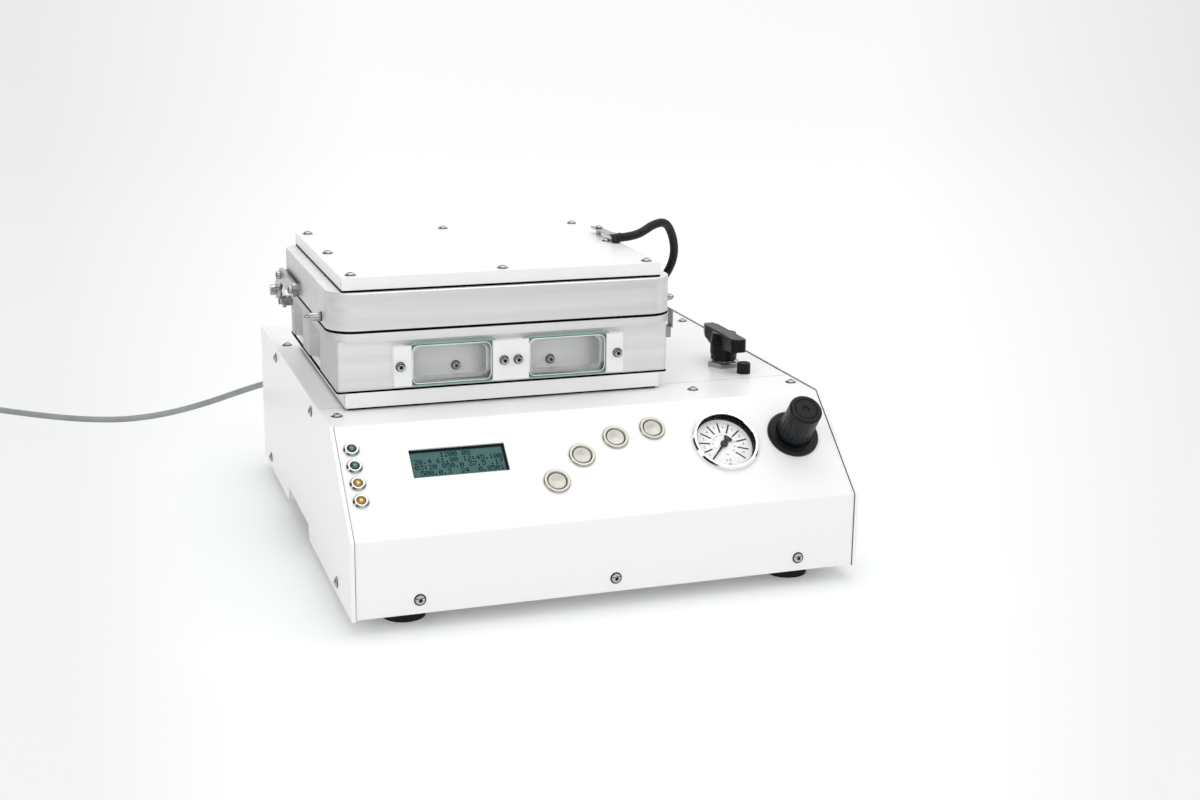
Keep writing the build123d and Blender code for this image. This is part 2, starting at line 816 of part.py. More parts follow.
def make_side_cover_plate():
    """A thin plate over the service opening in the right side panel."""
    mid_y = (plate_front + plate_back) / 2
    mid_z = (plate_low + plate_high) / 2
    blank = RectangleRounded(plate_high - plate_low, plate_back - plate_front, plate_corner_r)
    lie = Plane(origin=(housing_width / 2, mid_y, mid_z), x_dir=(0, 0, -1), z_dir=(1, 0, 0))
    return lie * extrude(blank, amount=screw_head_h)


# Controls on the sloped face

def make_display():
    """Display module: a metal frame round the glass, on a board with four standoffs."""
    frame_w, frame_h, frame_t = display_frame
    board_w, board_h, board_t = display_board
    behind = -sheet_t
    frame = Pos(0, 0, behind - frame_t / 2) * Box(frame_w, frame_h, frame_t)
    screen_w = display_w + 2 * screen_margin
    screen_h = display_h + 2 * screen_margin
    room = Box(screen_w + 2 * cut_gap, screen_h + 2 * cut_gap, display_recess)
    frame -= Pos(0, 0, behind - display_recess / 2) * room
    frame += Pos(0, 0, behind - frame_t - board_t / 2) * Box(board_w, board_h, board_t)
    for x in (-standoff_places[0], standoff_places[0]):
        for y in (-standoff_places[1], standoff_places[1]):
            frame += Pos(x, y, 0) * rod(standoff_r, behind - frame_t, behind)
    screen = Pos(0, 0, behind - display_recess + screen_t / 2) * Box(screen_w, screen_h, screen_t)
    place = on_slope(display_u, display_s)
    return place * frame, place * screen


def make_lamp_bezel():
    """A bright metal lamp holder with a sloped rim."""
    bore = lamp_lens_r + running_gap
    return turned(
        (bore, -lamp_depth), (lamp_barrel_r, -lamp_depth), (lamp_barrel_r, 0), (lamp_flange_r, 0),
        (lamp_flange_r, lamp_edge_h), (lamp_flange_r - lamp_bevel, lamp_flange_h),
        (bore + lamp_mouth, lamp_flange_h), (bore, lamp_edge_h),
    )


def make_lamp_lens():
    """A domed lens that fills its holder."""
    top = lamp_lens_base + lamp_lens_dome
    sphere_r = (lamp_lens_r**2 + lamp_lens_dome**2) / (2 * lamp_lens_dome)
    half = asin(lamp_lens_r / sphere_r) / 2
    shoulder = (sphere_r * sin(half), top - sphere_r * (1 - cos(half)))
    rim = (lamp_lens_r, lamp_lens_base)
    profile = Polyline((0, top), (0, -lamp_depth), (lamp_lens_r, -lamp_depth), rim)
    profile += ThreePointArc(rim, shoulder, (0, top))
    return revolve(Plane.XZ * make_face(profile), Axis.Z)


def make_button_body():
    """A button's metal shell: a flange with a groove, a threaded barrel and a closed end."""
    guide_r = button_cap_r + button_cap_gap
    stop = button_cap_l + button_travel + spare_depth
    return turned(
        (0, -button_depth), (button_barrel_r, -button_depth), (button_barrel_r, 0), (button_flange_r, 0),
        (button_flange_r, button_edge_h), (button_flange_r - button_bevel, button_flange_h),
        (button_groove_r, button_flange_h), (guide_r, button_groove_z), (guide_r, -stop), (0, -stop),
    )


def make_button_cap():
    """A button's cap, with a shallow dish and a bevelled edge."""
    top = button_cap_proud
    return turned(
        (0, -button_cap_l), (button_cap_r, -button_cap_l), (button_cap_r, top - button_cap_bevel),
        (button_cap_r - button_cap_bevel, top), (button_cap_r - button_cap_rim, top), (0, top - button_dish),
    )


def make_gauge():
    """Gauge case with its bright rim, the clamp that holds it, and its dial and glass."""
    case = turned(
        (0, -gauge_depth), (gauge_case_r, -gauge_depth), (gauge_case_r, 0), (gauge_r, 0),
        (gauge_r, gauge_edge_h), (gauge_r - gauge_bevel, gauge_bezel_h),
        (gauge_bore_r + gauge_lip, gauge_bezel_h), (gauge_bore_r, gauge_bezel_h - gauge_lip),
        (gauge_bore_r, -gauge_floor), (0, -gauge_floor),
    )
    case += rod(gauge_stem_r, -gauge_depth - gauge_stem_l, -gauge_depth)
    case -= rod(needle_shaft_r + running_gap, -gauge_floor - needle_sunk - spare_depth, -gauge_floor)
    bar_top = -gauge_depth - gauge_bar_gap
    inner_x = gauge_case_r + gauge_leg_gap
    outer_x = inner_x + gauge_bar_t
    half = gauge_bar_w / 2
    clamp = box(-half, half, -outer_x, outer_x, bar_top - gauge_bar_t, -sheet_t)
    clamp -= box(-half, half, -inner_x, inner_x, bar_top, -sheet_t)
    clamp -= rod(gauge_stem_r + hole_gap, bar_top - gauge_bar_t, bar_top)
    dial = rod(gauge_bore_r - hole_gap, -gauge_floor, -gauge_floor + dial_t)
    dial -= rod(needle_shaft_r + running_gap, -gauge_floor, -gauge_floor + dial_t)
    glass_high = gauge_bezel_h - gauge_lip - glass_sink
    glass = rod(gauge_bore_r - hole_gap, glass_high - glass_t, glass_high)
    return case, clamp, dial, glass


def make_needle():
    """Gauge needle at its zero stop: a thin pointer with a wide tail, a hub and a shaft."""
    low = -gauge_floor + dial_t + needle_lift
    outline = Polyline(
        (needle_length, 0), (-needle_neck, needle_w / 2), (-needle_tail, needle_tail_w / 2),
        (-needle_tail, -needle_tail_w / 2), (-needle_neck, -needle_w / 2), close=True,
    )
    needle = Pos(0, 0, low) * extrude(make_face(outline), amount=needle_t)
    needle += rod(needle_hub_r, low, low + needle_hub_h)
    needle += rod(needle_shaft_r, -gauge_floor - needle_sunk, low)
    return Rot(0, 0, needle_rest) * needle


def make_regulator():
    """Regulator body with its neck, the panel ring and the threaded spindle."""
    width, depth, height = regulator_block
    top = -sheet_t - nut_t
    body = rounded(width, depth, regulator_corner_r, top - height, top)
    body += rod(regulator_neck_r, top, ring_h - ring_lip_drop)
    body += hexagon(regulator_nut_af, spindle_r, top, -sheet_t)
    body -= rod(spindle_r + running_gap, -spindle_depth - spare_depth, ring_h)
    ring = turned(
        (ring_bore_r, 0), (ring_r, 0), (ring_r, ring_edge_h), (ring_r - ring_bevel, ring_h),
        (ring_bore_r + ring_bevel, ring_h), (ring_bore_r, ring_h - ring_lip_drop),
    )
    spindle = rod(spindle_r, -spindle_depth, spindle_top)
    return body, ring, spindle


def make_knob():
    """Ribbed knob that slides on the spindle to lock, with a ring and a dimple on top."""
    low = ring_h + knob_gap
    high = low + knob_height
    knob = turned(
        (0, low), (knob_low_r - knob_step, low), (knob_low_r, low + knob_step),
        (knob_low_r, low + knob_skirt), (knob_low_r - knob_step, low + knob_skirt + knob_step),
        (knob_top_r, high - knob_bevel), (knob_top_r - knob_bevel, high),
        (knob_ring_r + knob_groove, high), (knob_ring_r, high - knob_groove),
        (knob_ring_r - knob_groove, high), (knob_dimple_r, high),
        (knob_dimple_r - knob_dimple, high - knob_dimple), (0, high - knob_dimple),
    )
    groove_at = (knob_low_r + knob_top_r) / 2
    groove = Pos(groove_at, 0, 0) * rod(knob_rib_r, low + knob_skirt + 2 * knob_step, high - 2 * knob_bevel)
    for number in range(knob_ribs):
        knob -= Rot(0, 0, 360 * number / knob_ribs) * groove
    bore_top = spindle_top + knob_gap
    return knob - rod(spindle_r + slide_gap, low, bore_top)


# Valve on the deck

def make_valve():
    """Valve block below the deck, its threaded neck and its hexagon nut."""
    width, depth, height = valve_block
    top = -sheet_t
    body = Pos(0, 0, top - height / 2) * Box(width, depth, height)
    body += rod(valve_neck_r, top, valve_neck_h)
    for side in (-1, 1):
        port = Pos(side * width / 2, 0, top - height / 2) * Rot(0, side * 90, 0)
        body += port * rod(valve_port_r, 0, valve_port_l)
    body -= rod(stem_r + running_gap, -stem_depth - spare_depth, valve_neck_h)
    nut = hexagon(valve_nut_af, valve_neck_r + running_gap, 0, valve_nut_h)
    nut = chamfer(nut.faces().sort_by(Axis.Z)[-1].outer_wire().edges(), valve_nut_bevel)
    place = Pos(valve_x, valve_y, deck_z)
    return place * body, place * nut


def make_valve_handle():
    """Bar handle with a pointed nose to the back, on a round hub, and the stem that it turns."""
    base = valve_neck_h + handle_gap
    under = handle_top - handle_end_t
    hub_top = base + handle_hub_h
    half = handle_width / 2
    nose = handle_nose_w / 2
    shoulder = handle_reach - handle_taper
    sides = [
        (-handle_reach, under), (handle_hub_r, under - handle_belly),
        (handle_reach, handle_top - handle_nose_t), (handle_reach, handle_top), (-handle_reach, handle_top),
    ]
    bar = side_profile(sides, -half, half)
    plan = Polyline(
        (-half, -handle_reach), (half, -handle_reach), (half, shoulder), (nose, handle_reach),
        (-nose, handle_reach), (-half, shoulder), close=True,
    )
    bar &= extrude(make_face(plan), amount=handle_top)
    corners = [(x, -handle_reach, handle_top) for x in (-half, half)]
    bar = fillet(bends(bar, Axis.Z, corners), half - handle_bevel)
    bar = chamfer(bar.faces().sort_by(Axis.Z)[-1].outer_wire().edges(), handle_bevel)
    neck_r = handle_hub_r - handle_groove
    handle = bar + turned(
        (0, base), (neck_r - handle_bevel, base), (neck_r, base + handle_bevel), (neck_r, base + handle_neck),
        (handle_hub_r, base + handle_neck + handle_bevel), (handle_hub_r, hub_top),
        (neck_r - handle_bevel, handle_top - handle_bevel), (0, handle_top - handle_bevel),
    )
    handle -= rod(stem_r, base, hub_top)
    place = Pos(valve_x, valve_y, deck_z)
    return place * handle, place * rod(stem_r, -stem_depth, hub_top)


def make_silencer():
    """Small round vent silencer screwed into the deck."""
    silencer = turned(
        (0, -silencer_stem_l), (silencer_stem_r, -silencer_stem_l), (silencer_stem_r, 0), (silencer_r, 0),
        (silencer_r, silencer_h - silencer_bevel), (silencer_r - silencer_bevel, silencer_h),
        (silencer_dish_r, silencer_h), (silencer_dish_r - silencer_bevel, silencer_h - silencer_bevel),
        (0, silencer_h - silencer_bevel),
    )
    return Pos(silencer_x, silencer_y, deck_z) * silencer


# Chamber

def make_tray():
    """White folded tray under the chamber, open below, on rubber buffers."""
    middle = Pos(chamber_x, tray_front + tray_d / 2, 0)
    low = deck_z + tray_gap
    tray = middle * rounded(tray_w, tray_d, bend_r + sheet_t, low, tray_z)
    tray -= middle * rounded(tray_w - 2 * sheet_t, tray_d - 2 * sheet_t, bend_r, low, tray_z - sheet_t)
    tray -= Pos(hose_outlet[0], hose_outlet[1], tray_z) * Cylinder(hose_r + cut_gap, 4 * sheet_t)
    return tray


def buffer_places():
    """Middles of the six rubber buffers on the deck."""
    ys = (chamber_front + buffer_front_inset, chamber_back - buffer_back_inset)
    return [Pos(chamber_x + column * buffer_x, y, deck_z) for column in (-1, 0, 1) for y in ys]


def clamp_screw_places():
    """Places of the four window clamp screws on the clamps' faces."""
    xs = []
    for window_x in window_xs:
        for side in (-1, 1):
            xs.append(window_x + side * (window_w / 2 - clamp_over + clamp_screw_from_edge))
    face_y = box_y0 - window_glass_t - clamp_t
    return [facing(x, face_y, window_z, (0, -1, 0)) for x in xs]


def carrier_screw_places():
    """Places of the three screws on the sample carrier's front."""
    return [facing(chamber_x + dx, carrier_y0, carrier_screw_z, (0, -1, 0)) for dx in carrier_screw_dxs]


carrier_x0 = box_x0 + cavity_wall + carrier_side_gap
carrier_x1 = box_x1 - cavity_wall - carrier_side_gap
carrier_y0 = box_y0 + cavity_wall + carrier_front_gap
carrier_y1 = box_y1 - cavity_wall - carrier_front_gap


def hinge_screw_places(side, spots, x):
    """Places on a hinge plate's outer face, left (-1) or right (1)."""
    return [facing(x, y, z, (side, 0, 0)) for y, z in spots]


def side_x(side, out):
    """X of a plane that stands a given distance out from the lid's side."""
    return chamber_x + side * (chamber_w / 2 + out)


def make_lower_chamber():
    """Milled chamber: a flanged box with a cavity, two window slots and pockets in its sides."""
    middle = Pos(chamber_x, chamber_mid_y, 0)
    body = middle * rounded(box_x1 - box_x0, box_y1 - box_y0, box_corner_r, tray_z, flange_z)
    body += middle * rounded(chamber_w, chamber_d, chamber_corner_r, flange_z, flange_top)
    for near, far in pocket_spans:
        for x in (box_x0, box_x1 - pocket_depth):
            body -= box(x, x + pocket_depth, box_y1 - near, box_y1 - far, tray_z, flange_z - pocket_roof)
    body -= box(
        box_x0 + cavity_wall, box_x1 - cavity_wall, box_y0 + cavity_wall, box_y1 - cavity_wall,
        floor_z, flange_top + 1,
    )
    for x in window_xs:
        slot = RectangleRounded(window_slot_w, window_slot_h, window_corner_r)
        cut = Plane(origin=(x, box_y0 + cavity_wall + 1, window_z), x_dir=(1, 0, 0), z_dir=(0, -1, 0))
        body -= cut * extrude(slot, amount=cavity_wall + 2)
    outlet = Pos(hose_outlet[0], hose_outlet[1], 0)
    body += outlet * rod(hose_r, hose_outlet[2], tray_z)
    body -= outlet * rod(hose_r - hose_wall, hose_outlet[2], floor_z)
    body = drilled(body, cap_hole_r, clamp_screw_places(), depth=clamp_screw_l + spare_depth)
    for side in (-1, 1):
        spots = hinge_screw_places(side, [hinge_base_screw], side_x(side, hinge_plate_t))
        body = drilled(body, cap_hole_r, spots, depth=hinge_base_screw_l + spare_depth)
    return body


def make_gasket():
    """Flat seal on the flange."""
    middle = Pos(chamber_x, chamber_mid_y, 0)
    outer_r = chamber_corner_r - gasket_inset
    width = chamber_w - 2 * gasket_inset
    depth = chamber_d - 2 * gasket_inset
    seal = middle * rounded(width, depth, outer_r, flange_top, flange_top + gasket_t)
    width -= 2 * gasket_w
    depth -= 2 * gasket_w
    return seal - middle * rounded(width, depth, outer_r - gasket_w, flange_top, flange_top + gasket_t)


def make_window_glasses():
    """Thick glass plates on the front wall, one over each slot."""
    glasses = []
    for x in window_xs:
        plane = Plane(origin=(x, box_y0, window_z), x_dir=(1, 0, 0), z_dir=(0, -1, 0))
        blank = RectangleRounded(window_w, window_h, window_corner_r)
        glasses.append(plane * extrude(blank, amount=window_glass_t))
    return glasses


def make_window_clamps():
    """Stepped white clamps: one at each end and one shared in the middle."""
    reach = window_w / 2 - clamp_over
    spans = [
        (window_xs[0] - reach - clamp_end_w, window_xs[0] - reach),
        (window_xs[0] + reach, window_xs[1] - reach),
        (window_xs[1] + reach, window_xs[1] + reach + clamp_end_w),
    ]
    face_y = box_y0 - window_glass_t - clamp_t
    clamps = []
    for x0, x1 in spans:
        low = window_z - clamp_h / 2
        high = window_z + clamp_h / 2
        clamp = box(x0, x1, face_y, box_y0, low, high)
        for x in window_xs:
            half = window_w / 2 + clamp_gap
            clamp -= box(x - half, x + half, face_y + clamp_t, box_y0, low, high)
        clamp = drilled(clamp, cap_hole_r, clamp_screw_places())
        clamps.append(clamp)
    return clamps


def make_carrier():
    """Sample carrier: a metal block with two wells for plates."""
    carrier = box(carrier_x0, carrier_x1, carrier_y0, carrier_y1, floor_z, floor_z + carrier_h)
    for side in (-1, 1):
        x = (carrier_x0 + carrier_x1) / 2 + side * well_pitch / 2
        top = floor_z + carrier_h
        carrier -= Pos(x, chamber_mid_y, 0) * rounded(well_w, well_d, well_corner_r, top - well_depth, top)
    return drilled(carrier, cap_hole_r, carrier_screw_places(), depth=cap_length + spare_depth)


# Lid

def boss_places():
    """Middles of the eight cover screws, round the cover's edge."""
    reach_x = cover_w / 2 - cover_screw_inset[0]
    reach_y = cover_d / 2 - cover_screw_inset[1]
    spots = []
    for column in (-1, 0, 1):
        for row in (-1, 0, 1):
            if column or row:
                spots.append(Pos(chamber_x + column * reach_x, chamber_mid_y + row * reach_y, 0))
    return spots


def make_lid_block():
    """Thick lid with a recess below and bosses for its cover."""
    middle = Pos(chamber_x, chamber_mid_y, 0)
    lid = middle * rounded(chamber_w, chamber_d, chamber_corner_r, lid_z, lid_top)
    lid = chamfer(lid.faces().sort_by(Axis.Z)[-1].outer_wire().edges(), lid_bevel)
    lid -= middle * rounded(
        chamber_w - 2 * lid_wall, chamber_d - 2 * lid_wall, lid_recess_r, lid_z, lid_z + lid_recess
    )
    boss_top = cover_top - sheet_t
    for place in boss_places():
        lid += place * rod(boss_r, lid_top, boss_top)
        lid -= place * rod(screw_r, cover_top - screw_length - spare_depth, boss_top)
    for side in (-1, 1):
        spots = hinge_screw_places(side, hinge_lid_screws, side_x(side, hinge_lid_out))
        lid = drilled(lid, cap_hole_r, spots, depth=hinge_lid_screw_l + spare_depth)
        pin = facing(side_x(side, 0), side_pin_y, lid_z + side_pin_up, (side, 0, 0))
        lid = drilled(lid, side_pin_shank_r, [pin], depth=side_pin_sunk)
    return lid


def make_nozzle_plate():
    """Plate in the lid's recess with rows of short nozzles over the two wells."""
    high = lid_z + lid_recess
    low = high - nozzle_plate_t
    width = chamber_w - 2 * (lid_wall + spare_depth)
    depth = chamber_d - 2 * (lid_wall + spare_depth)
    plate = Pos(chamber_x, chamber_mid_y, 0) * rounded(width, depth, lid_recess_r - spare_depth, low, high)
    for side in (-1, 1):
        for row in range(nozzle_count):
            x = chamber_x + side * well_pitch / 2
            y = chamber_mid_y + (row - (nozzle_count - 1) / 2) * nozzle_pitch
            plate += Pos(x, y, 0) * rod(nozzle_r, low - nozzle_l, low)
    return plate


def make_lid_cover():
    """Folded white cover, screwed to the lid's bosses."""
    middle = Pos(chamber_x, chamber_mid_y, 0)
    inner_w = cover_w - 2 * sheet_t
    inner_d = cover_d - 2 * sheet_t
    cover = middle * rounded(cover_w, cover_d, bend_r + sheet_t, cover_z, cover_top)
    cover -= middle * rounded(inner_w, inner_d, bend_r, cover_z, cover_top - sheet_t)
    cover = drilled(cover, screw_hole_r, [Pos(0, 0, cover_top) * place for place in boss_places()])
    return drilled(cover, clip_hole_r, clip_screw_places(cover_top))


def clip_screw_places(z):
    """Places of the two screws of the lid cable's clip."""
    return [Pos(clip_x, clip_front + dy, z) for dy in clip_screw_dys]


def make_clip():
    """Steel strip on two spacers, and the black ferrule and tongue of the cable's end under it."""
    end = Vector(*lid_cable_route[-1])
    inwards = end - Vector(*lid_cable_route[-2])
    ferrule = facing(*end, inwards) * rod(ferrule_r, 0, ferrule_l)
    low = cover_top + clip_foot_h
    strip = box(
        clip_x - clip_w / 2, clip_x + clip_w / 2, clip_front, clip_front + clip_l, low, low + clip_t
    )
    for place in clip_screw_places(cover_top):
        strip += place * rod(clip_foot_r, 0, clip_foot_h)
    strip = drilled(strip, clip_hole_r, clip_screw_places(low + clip_t))
    strip -= facing(*end, inwards) * rod(ferrule_r, -lid_cable_r, ferrule_l)
    wide, deep = tongue
    ferrule += box(
        clip_x - wide / 2, clip_x + wide / 2, end.Y, end.Y + deep, cover_top + running_gap, low
    )
    return strip, ferrule


def make_side_pin(side):
    """Bullet-nosed pin in the lid's side."""
    pin = turned(
        (0, -side_pin_sunk), (side_pin_shank_r, -side_pin_sunk), (side_pin_shank_r, 0), (side_pin_r, 0),
        (side_pin_r, side_pin_l - side_pin_nose), (side_pin_mid_r, side_pin_l - side_pin_mid),
        (side_pin_tip_r, side_pin_l - side_pin_tip), (0, side_pin_l),
    )
    return facing(side_x(side, 0), side_pin_y, lid_z + side_pin_up, (side, 0, 0)) * pin


def hinge_blank(side, out, spots):
    """A flat plate that runs from each round spot to the next, as a chain of rounded bars."""
    outline = Sketch()
    for near, far in zip(spots, spots[1:]):
        discs = [Pos(y, z) * Circle(radius) for y, z, radius in (near, far)]
        outline += make_hull([edge for disc in discs for edge in disc.edges()])
    inner = side_x(side, out)
    outer = side_x(side, out + hinge_plate_t)
    lie = Plane(origin=(min(inner, outer), 0, 0), x_dir=(0, 1, 0), z_dir=(1, 0, 0))
    return lie * extrude(outline, amount=hinge_plate_t)


def make_hinge(side):
    """One hinge: the chamber's plate, the lid's plate on spacers, and the shoulder pin."""
    pin_place = facing(side_x(side, 0), hinge_y, hinge_z, (side, 0, 0))
    eye = (hinge_y, hinge_z, hinge_eye_r)
    base = hinge_blank(side, 0, [eye, (*hinge_base_screw, hinge_foot_r)])
    base_spots = hinge_screw_places(side, [hinge_base_screw], side_x(side, hinge_plate_t))
    seat = facing(side_x(side, -box_inset), *hinge_base_screw, (side, 0, 0))
    base += seat * rod(hinge_spacer_r, 0, box_inset)
    base = drilled(base, cap_hole_r, base_spots)
    base -= pin_place * rod(hinge_pin_r, -1, hinge_plate_t + 1)
    out = hinge_plate_t + hinge_layer_gap
    lid_plate = hinge_blank(side, out, [eye] + [(y, z, hinge_foot_r) for y, z in hinge_lid_screws])
    for y, z in hinge_lid_screws:
        lid_plate += facing(side_x(side, 0), y, z, (side, 0, 0)) * rod(hinge_spacer_r, 0, out)
    lid_spots = hinge_screw_places(side, hinge_lid_screws, side_x(side, hinge_lid_out))
    lid_plate = drilled(lid_plate, cap_hole_r, lid_spots)
    lid_plate -= pin_place * rod(hinge_pin_r + hinge_pin_gap, out - 1, out + hinge_plate_t + 1)
    head = hinge_lid_out + hinge_layer_gap
    pin = rod(hinge_pin_r, -hinge_end_t, head) + rod(hinge_head_r, head, head + hinge_head_h)
    pin += rod(hinge_end_r, -hinge_end_t, 0)
    return base, lid_plate, pin_place * pin


# Cable gland, lid cable and lid switch

def make_gland():
    """Black gland in the deck, round the lid cable's sleeve."""
    gland = turned(
        (sleeve_r, -gland_stem_l), (gland_stem_r, -gland_stem_l), (gland_stem_r, 0), (gland_r, 0),
        (gland_r, gland_collar_h), (gland_r - gland_step, gland_collar_h + gland_step),
        (gland_r - gland_step, gland_h - gland_nose), (gland_stem_r - gland_step / 2, gland_h),
        (sleeve_r, gland_h),
    )
    return Pos(gland_x, gland_y, deck_z) * gland


def make_lid_switch():
    """Small switch on the chamber's right side, with a thin upright leaf under the lid's pin."""
    width, depth, height = switch_size
    x0 = box_x1
    body = box(x0, x0 + width, switch_y - depth / 2, switch_y + depth / 2, switch_z, switch_z + height)
    leaf_x = side_x(1, switch_leaf_out)
    shelf_z = switch_z + height - switch_leaf_t
    half = switch_leaf_w / 2
    body += box(x0, leaf_x, switch_y - half, switch_y + half, shelf_z, switch_z + height)
    body += box(leaf_x - switch_leaf_t, leaf_x, switch_y - half, switch_y + half, shelf_z, switch_leaf_top)
    return body


# Rear fittings

def make_inlet():
    """Mains inlet: a flange with rounded corners, a recess and three pins."""
    plane = Plane(origin=(inlet_x, back_face, inlet_z), x_dir=(-1, 0, 0), z_dir=(0, 1, 0))
    body = extrude(RectangleRounded(*inlet_flange, inlet_corner_r), amount=inlet_flange_t)
    deep = inlet_depth + inlet_back
    body += Pos(0, 0, -deep) * extrude(Rectangle(*inlet_body), amount=deep)
    body -= Pos(0, 0, -inlet_depth) * extrude(Rectangle(*inlet_recess), amount=inlet_depth + inlet_flange_t)
    for x, y in inlet_pin_places:
        body += Pos(x, y, -inlet_depth) * extrude(Rectangle(*inlet_pin), amount=inlet_pin_l)
    return plane.location * body


def make_rocker():
    """Power switch: a frame in the rear panel and the rocker that tilts in it."""
    plane = Plane(origin=(rocker_x, back_face, inlet_z), x_dir=(-1, 0, 0), z_dir=(0, 1, 0))
    room = (rocker_size[0] + 2 * rocker_gap, rocker_size[1] + 2 * rocker_gap)
    body = extrude(RectangleRounded(*rocker_frame, rocker_corner_r), amount=rocker_frame_t)
    outer = Rectangle(room[0] + 2 * rocker_wall, room[1] + 2 * rocker_wall)
    body += Pos(0, 0, -rocker_depth - rocker_wall) * extrude(outer, amount=rocker_depth + rocker_wall)
    body -= Pos(0, 0, -rocker_depth) * extrude(Rectangle(*room), amount=rocker_depth + rocker_frame_t)
    axle = Pos(0, 0, -rocker_axle_sink) * Rot(0, 90, 0)
    body -= axle * Cylinder(rocker_axle_r + running_gap, room[0] + 2 * rocker_axle_end)
    half = rocker_size[1] / 2
    crest = half - rocker_lean
    side = [
        (-half, -rocker_skirt), (0, -rocker_skirt - rocker_belly), (half, -rocker_skirt),
        (half, -rocker_shoulder), (crest, rocker_crest), (0, rocker_dip), (-crest, rocker_crest),
        (-half, -rocker_shoulder),
    ]
    rocker = side_profile(side, -rocker_size[0] / 2, rocker_size[0] / 2)
    rocker = axle * Rot(0, 0, -rocker_tilt / 2) * axle.inverse() * rocker
    rocker += axle * Cylinder(rocker_axle_r, room[0] + 2 * rocker_axle_end - 2 * running_gap)
    return plane.location * body, plane.location * rocker


def make_vacuum_port():
    """Straight hose stub through the rear panel, with a collar outside and a nut inside."""
    port = pipe(port_r, port_bore_r, -port_inside, port_out)
    port += pipe(port_collar_r, port_bore_r, 0, port_collar_h)
    port += pipe(port_collar_r, port_bore_r, -sheet_t - nut_t, -sheet_t)
    return facing(port_x, back_face, port_z, (0, 1, 0)) * port


def make_power_supply():
    """Closed power supply on four short feet."""
    width, depth, height = supply_size
    low = pan_z + sheet_t
    supply = Pos(*supply_place, low + supply_foot_h) * Box(width, depth, height, align=ON_BASE)
    for x in (-1, 1):
        for y in (-1, 1):
            spot = Pos(
                supply_place[0] + x * (width / 2 - module_foot_inset),
                supply_place[1] + y * (depth / 2 - module_foot_inset), 0,
            )
            supply += spot * rod(module_foot_r, low, low + supply_foot_h)
    return supply


def make_control_board():
    """Control board on four standoffs, with its three tallest parts."""
    width, depth, thick = board_size
    low = pan_z + sheet_t
    top = low + board_foot_h
    board = Pos(*board_place, top) * Box(width, depth, thick, align=ON_BASE)
    for x in (-1, 1):
        for y in (-1, 1):
            spot = Pos(
                board_place[0] + x * (width / 2 - module_foot_inset),
                board_place[1] + y * (depth / 2 - module_foot_inset), 0,
            )
            board += spot * rod(module_foot_r, low, top)
    for x, y, w, d, h in board_chips:
        board += Pos(board_place[0] + x, board_place[1] + y, top + thick) * Box(w, d, h, align=ON_BASE)
    return board


# Mains connector, lead, coil and plug

def make_connector():
    """Connector in the mains inlet, with slots for the pins and a tapered strain relief."""
    plane = Plane(origin=(inlet_x, back_face + inlet_flange_t, inlet_z), x_dir=(-1, 0, 0), z_dir=(0, 1, 0))
    sunk = inlet_flange_t + connector_nose_l
    body = Pos(0, 0, -sunk) * extrude(Rectangle(*connector_nose), amount=sunk + connector_body_l)
    grip = RectangleRounded(*connector_body, connector_corner_r)
    body += Pos(0, 0, connector_gap) * extrude(grip, amount=connector_body_l - connector_gap)
    for x, y in inlet_pin_places:
        slot = Rectangle(inlet_pin[0] + 2 * connector_gap, inlet_pin[1] + 2 * connector_gap)
        body -= Pos(x, y, -sunk) * extrude(slot, amount=inlet_pin_l + spare_depth)
    end = connector_body_l + connector_tail_l
    body += turned(
        (0, connector_body_l), (connector_tail_r, connector_body_l),
        (lead_d / 2 + relief_wall, end), (0, end),
    )
    return plane.location * body


def make_coil():
    """Two-layer coil of the lead, wound inwards and out again, in its own frame.

    It starts at the right of its axis, one cord diameter before Y = 0, and turns to the left.
    """
    inward = [coil_outer_r - number * coil_pitch / 2 for number in range(2 * coil_turns_in)]
    climb_r = inward[-1] - coil_pitch / 2
    steps = [(radius, 0) for radius in inward] + [(climb_r, coil_pitch)]
    steps += [(radius, 0) for radius in inward[::-1]]
    at = Vector(coil_outer_r, 0, 0)
    heading = Vector(0, 1, 0)
    edges = [Line(at - heading * lead_d, at)]
    for radius, rise in steps:
        aside = Vector(-heading.Y, heading.X, 0)
        middle = at + heading * radius + aside * radius + Vector(0, 0, rise / 2)
        end = at + aside * 2 * radius + Vector(0, 0, rise)
        edges.append(TangentArc(at, middle, tangent=heading))
        edges.append(TangentArc(middle, end, tangent=edges[-1] % 1))
        at = end
        heading = -heading
    edges.append(Line(at, at + heading * coil_tail))
    path = Wire(edges)
    across = Plane(origin=path @ 0, x_dir=(0, 0, 1), z_dir=(0, 1, 0))
    coil = sweep(across * RegularPolygon(lead_d / 2, coil_sides), path=path)
    count = int(path.length / gap_step)
    points = [path @ (number / count) for number in range(count + 1)]
    near = int(3 * lead_d / gap_step)
    gaps = [
        (points[i] - points[j]).length - lead_d
        for i in range(0, count + 1, 2)
        for j in range(i + near, count + 1)
    ]
    print("  length", round(path.length, 1), "least gap to itself", round(min(gaps), 2))
    return coil, at + heading * coil_tail, heading


def make_plug():
    """Flat mains plug with three round pins. Its cord enters at Z = 0 and its pins point up."""
    shoulder = plug_relief_l + plug_shoulder
    end = plug_relief_l + plug_body_l
    plug = turned((0, 0), (lead_d / 2 + relief_wall, 0), (plug_relief_r, plug_relief_l), (0, plug_relief_l))
    neck = Pos(0, 0, plug_relief_l) * RectangleRounded(*plug_neck, plug_corner_r)
    face = Pos(0, 0, shoulder) * RectangleRounded(*plug_body, plug_corner_r)
    plug += loft([neck, face], ruled=True) + extrude(face, amount=end - shoulder)
    for x, y in plug_pin_places:
        plug += Pos(x, y, 0) * rod(plug_pin_r, end, end + plug_pin_l)
    return plug


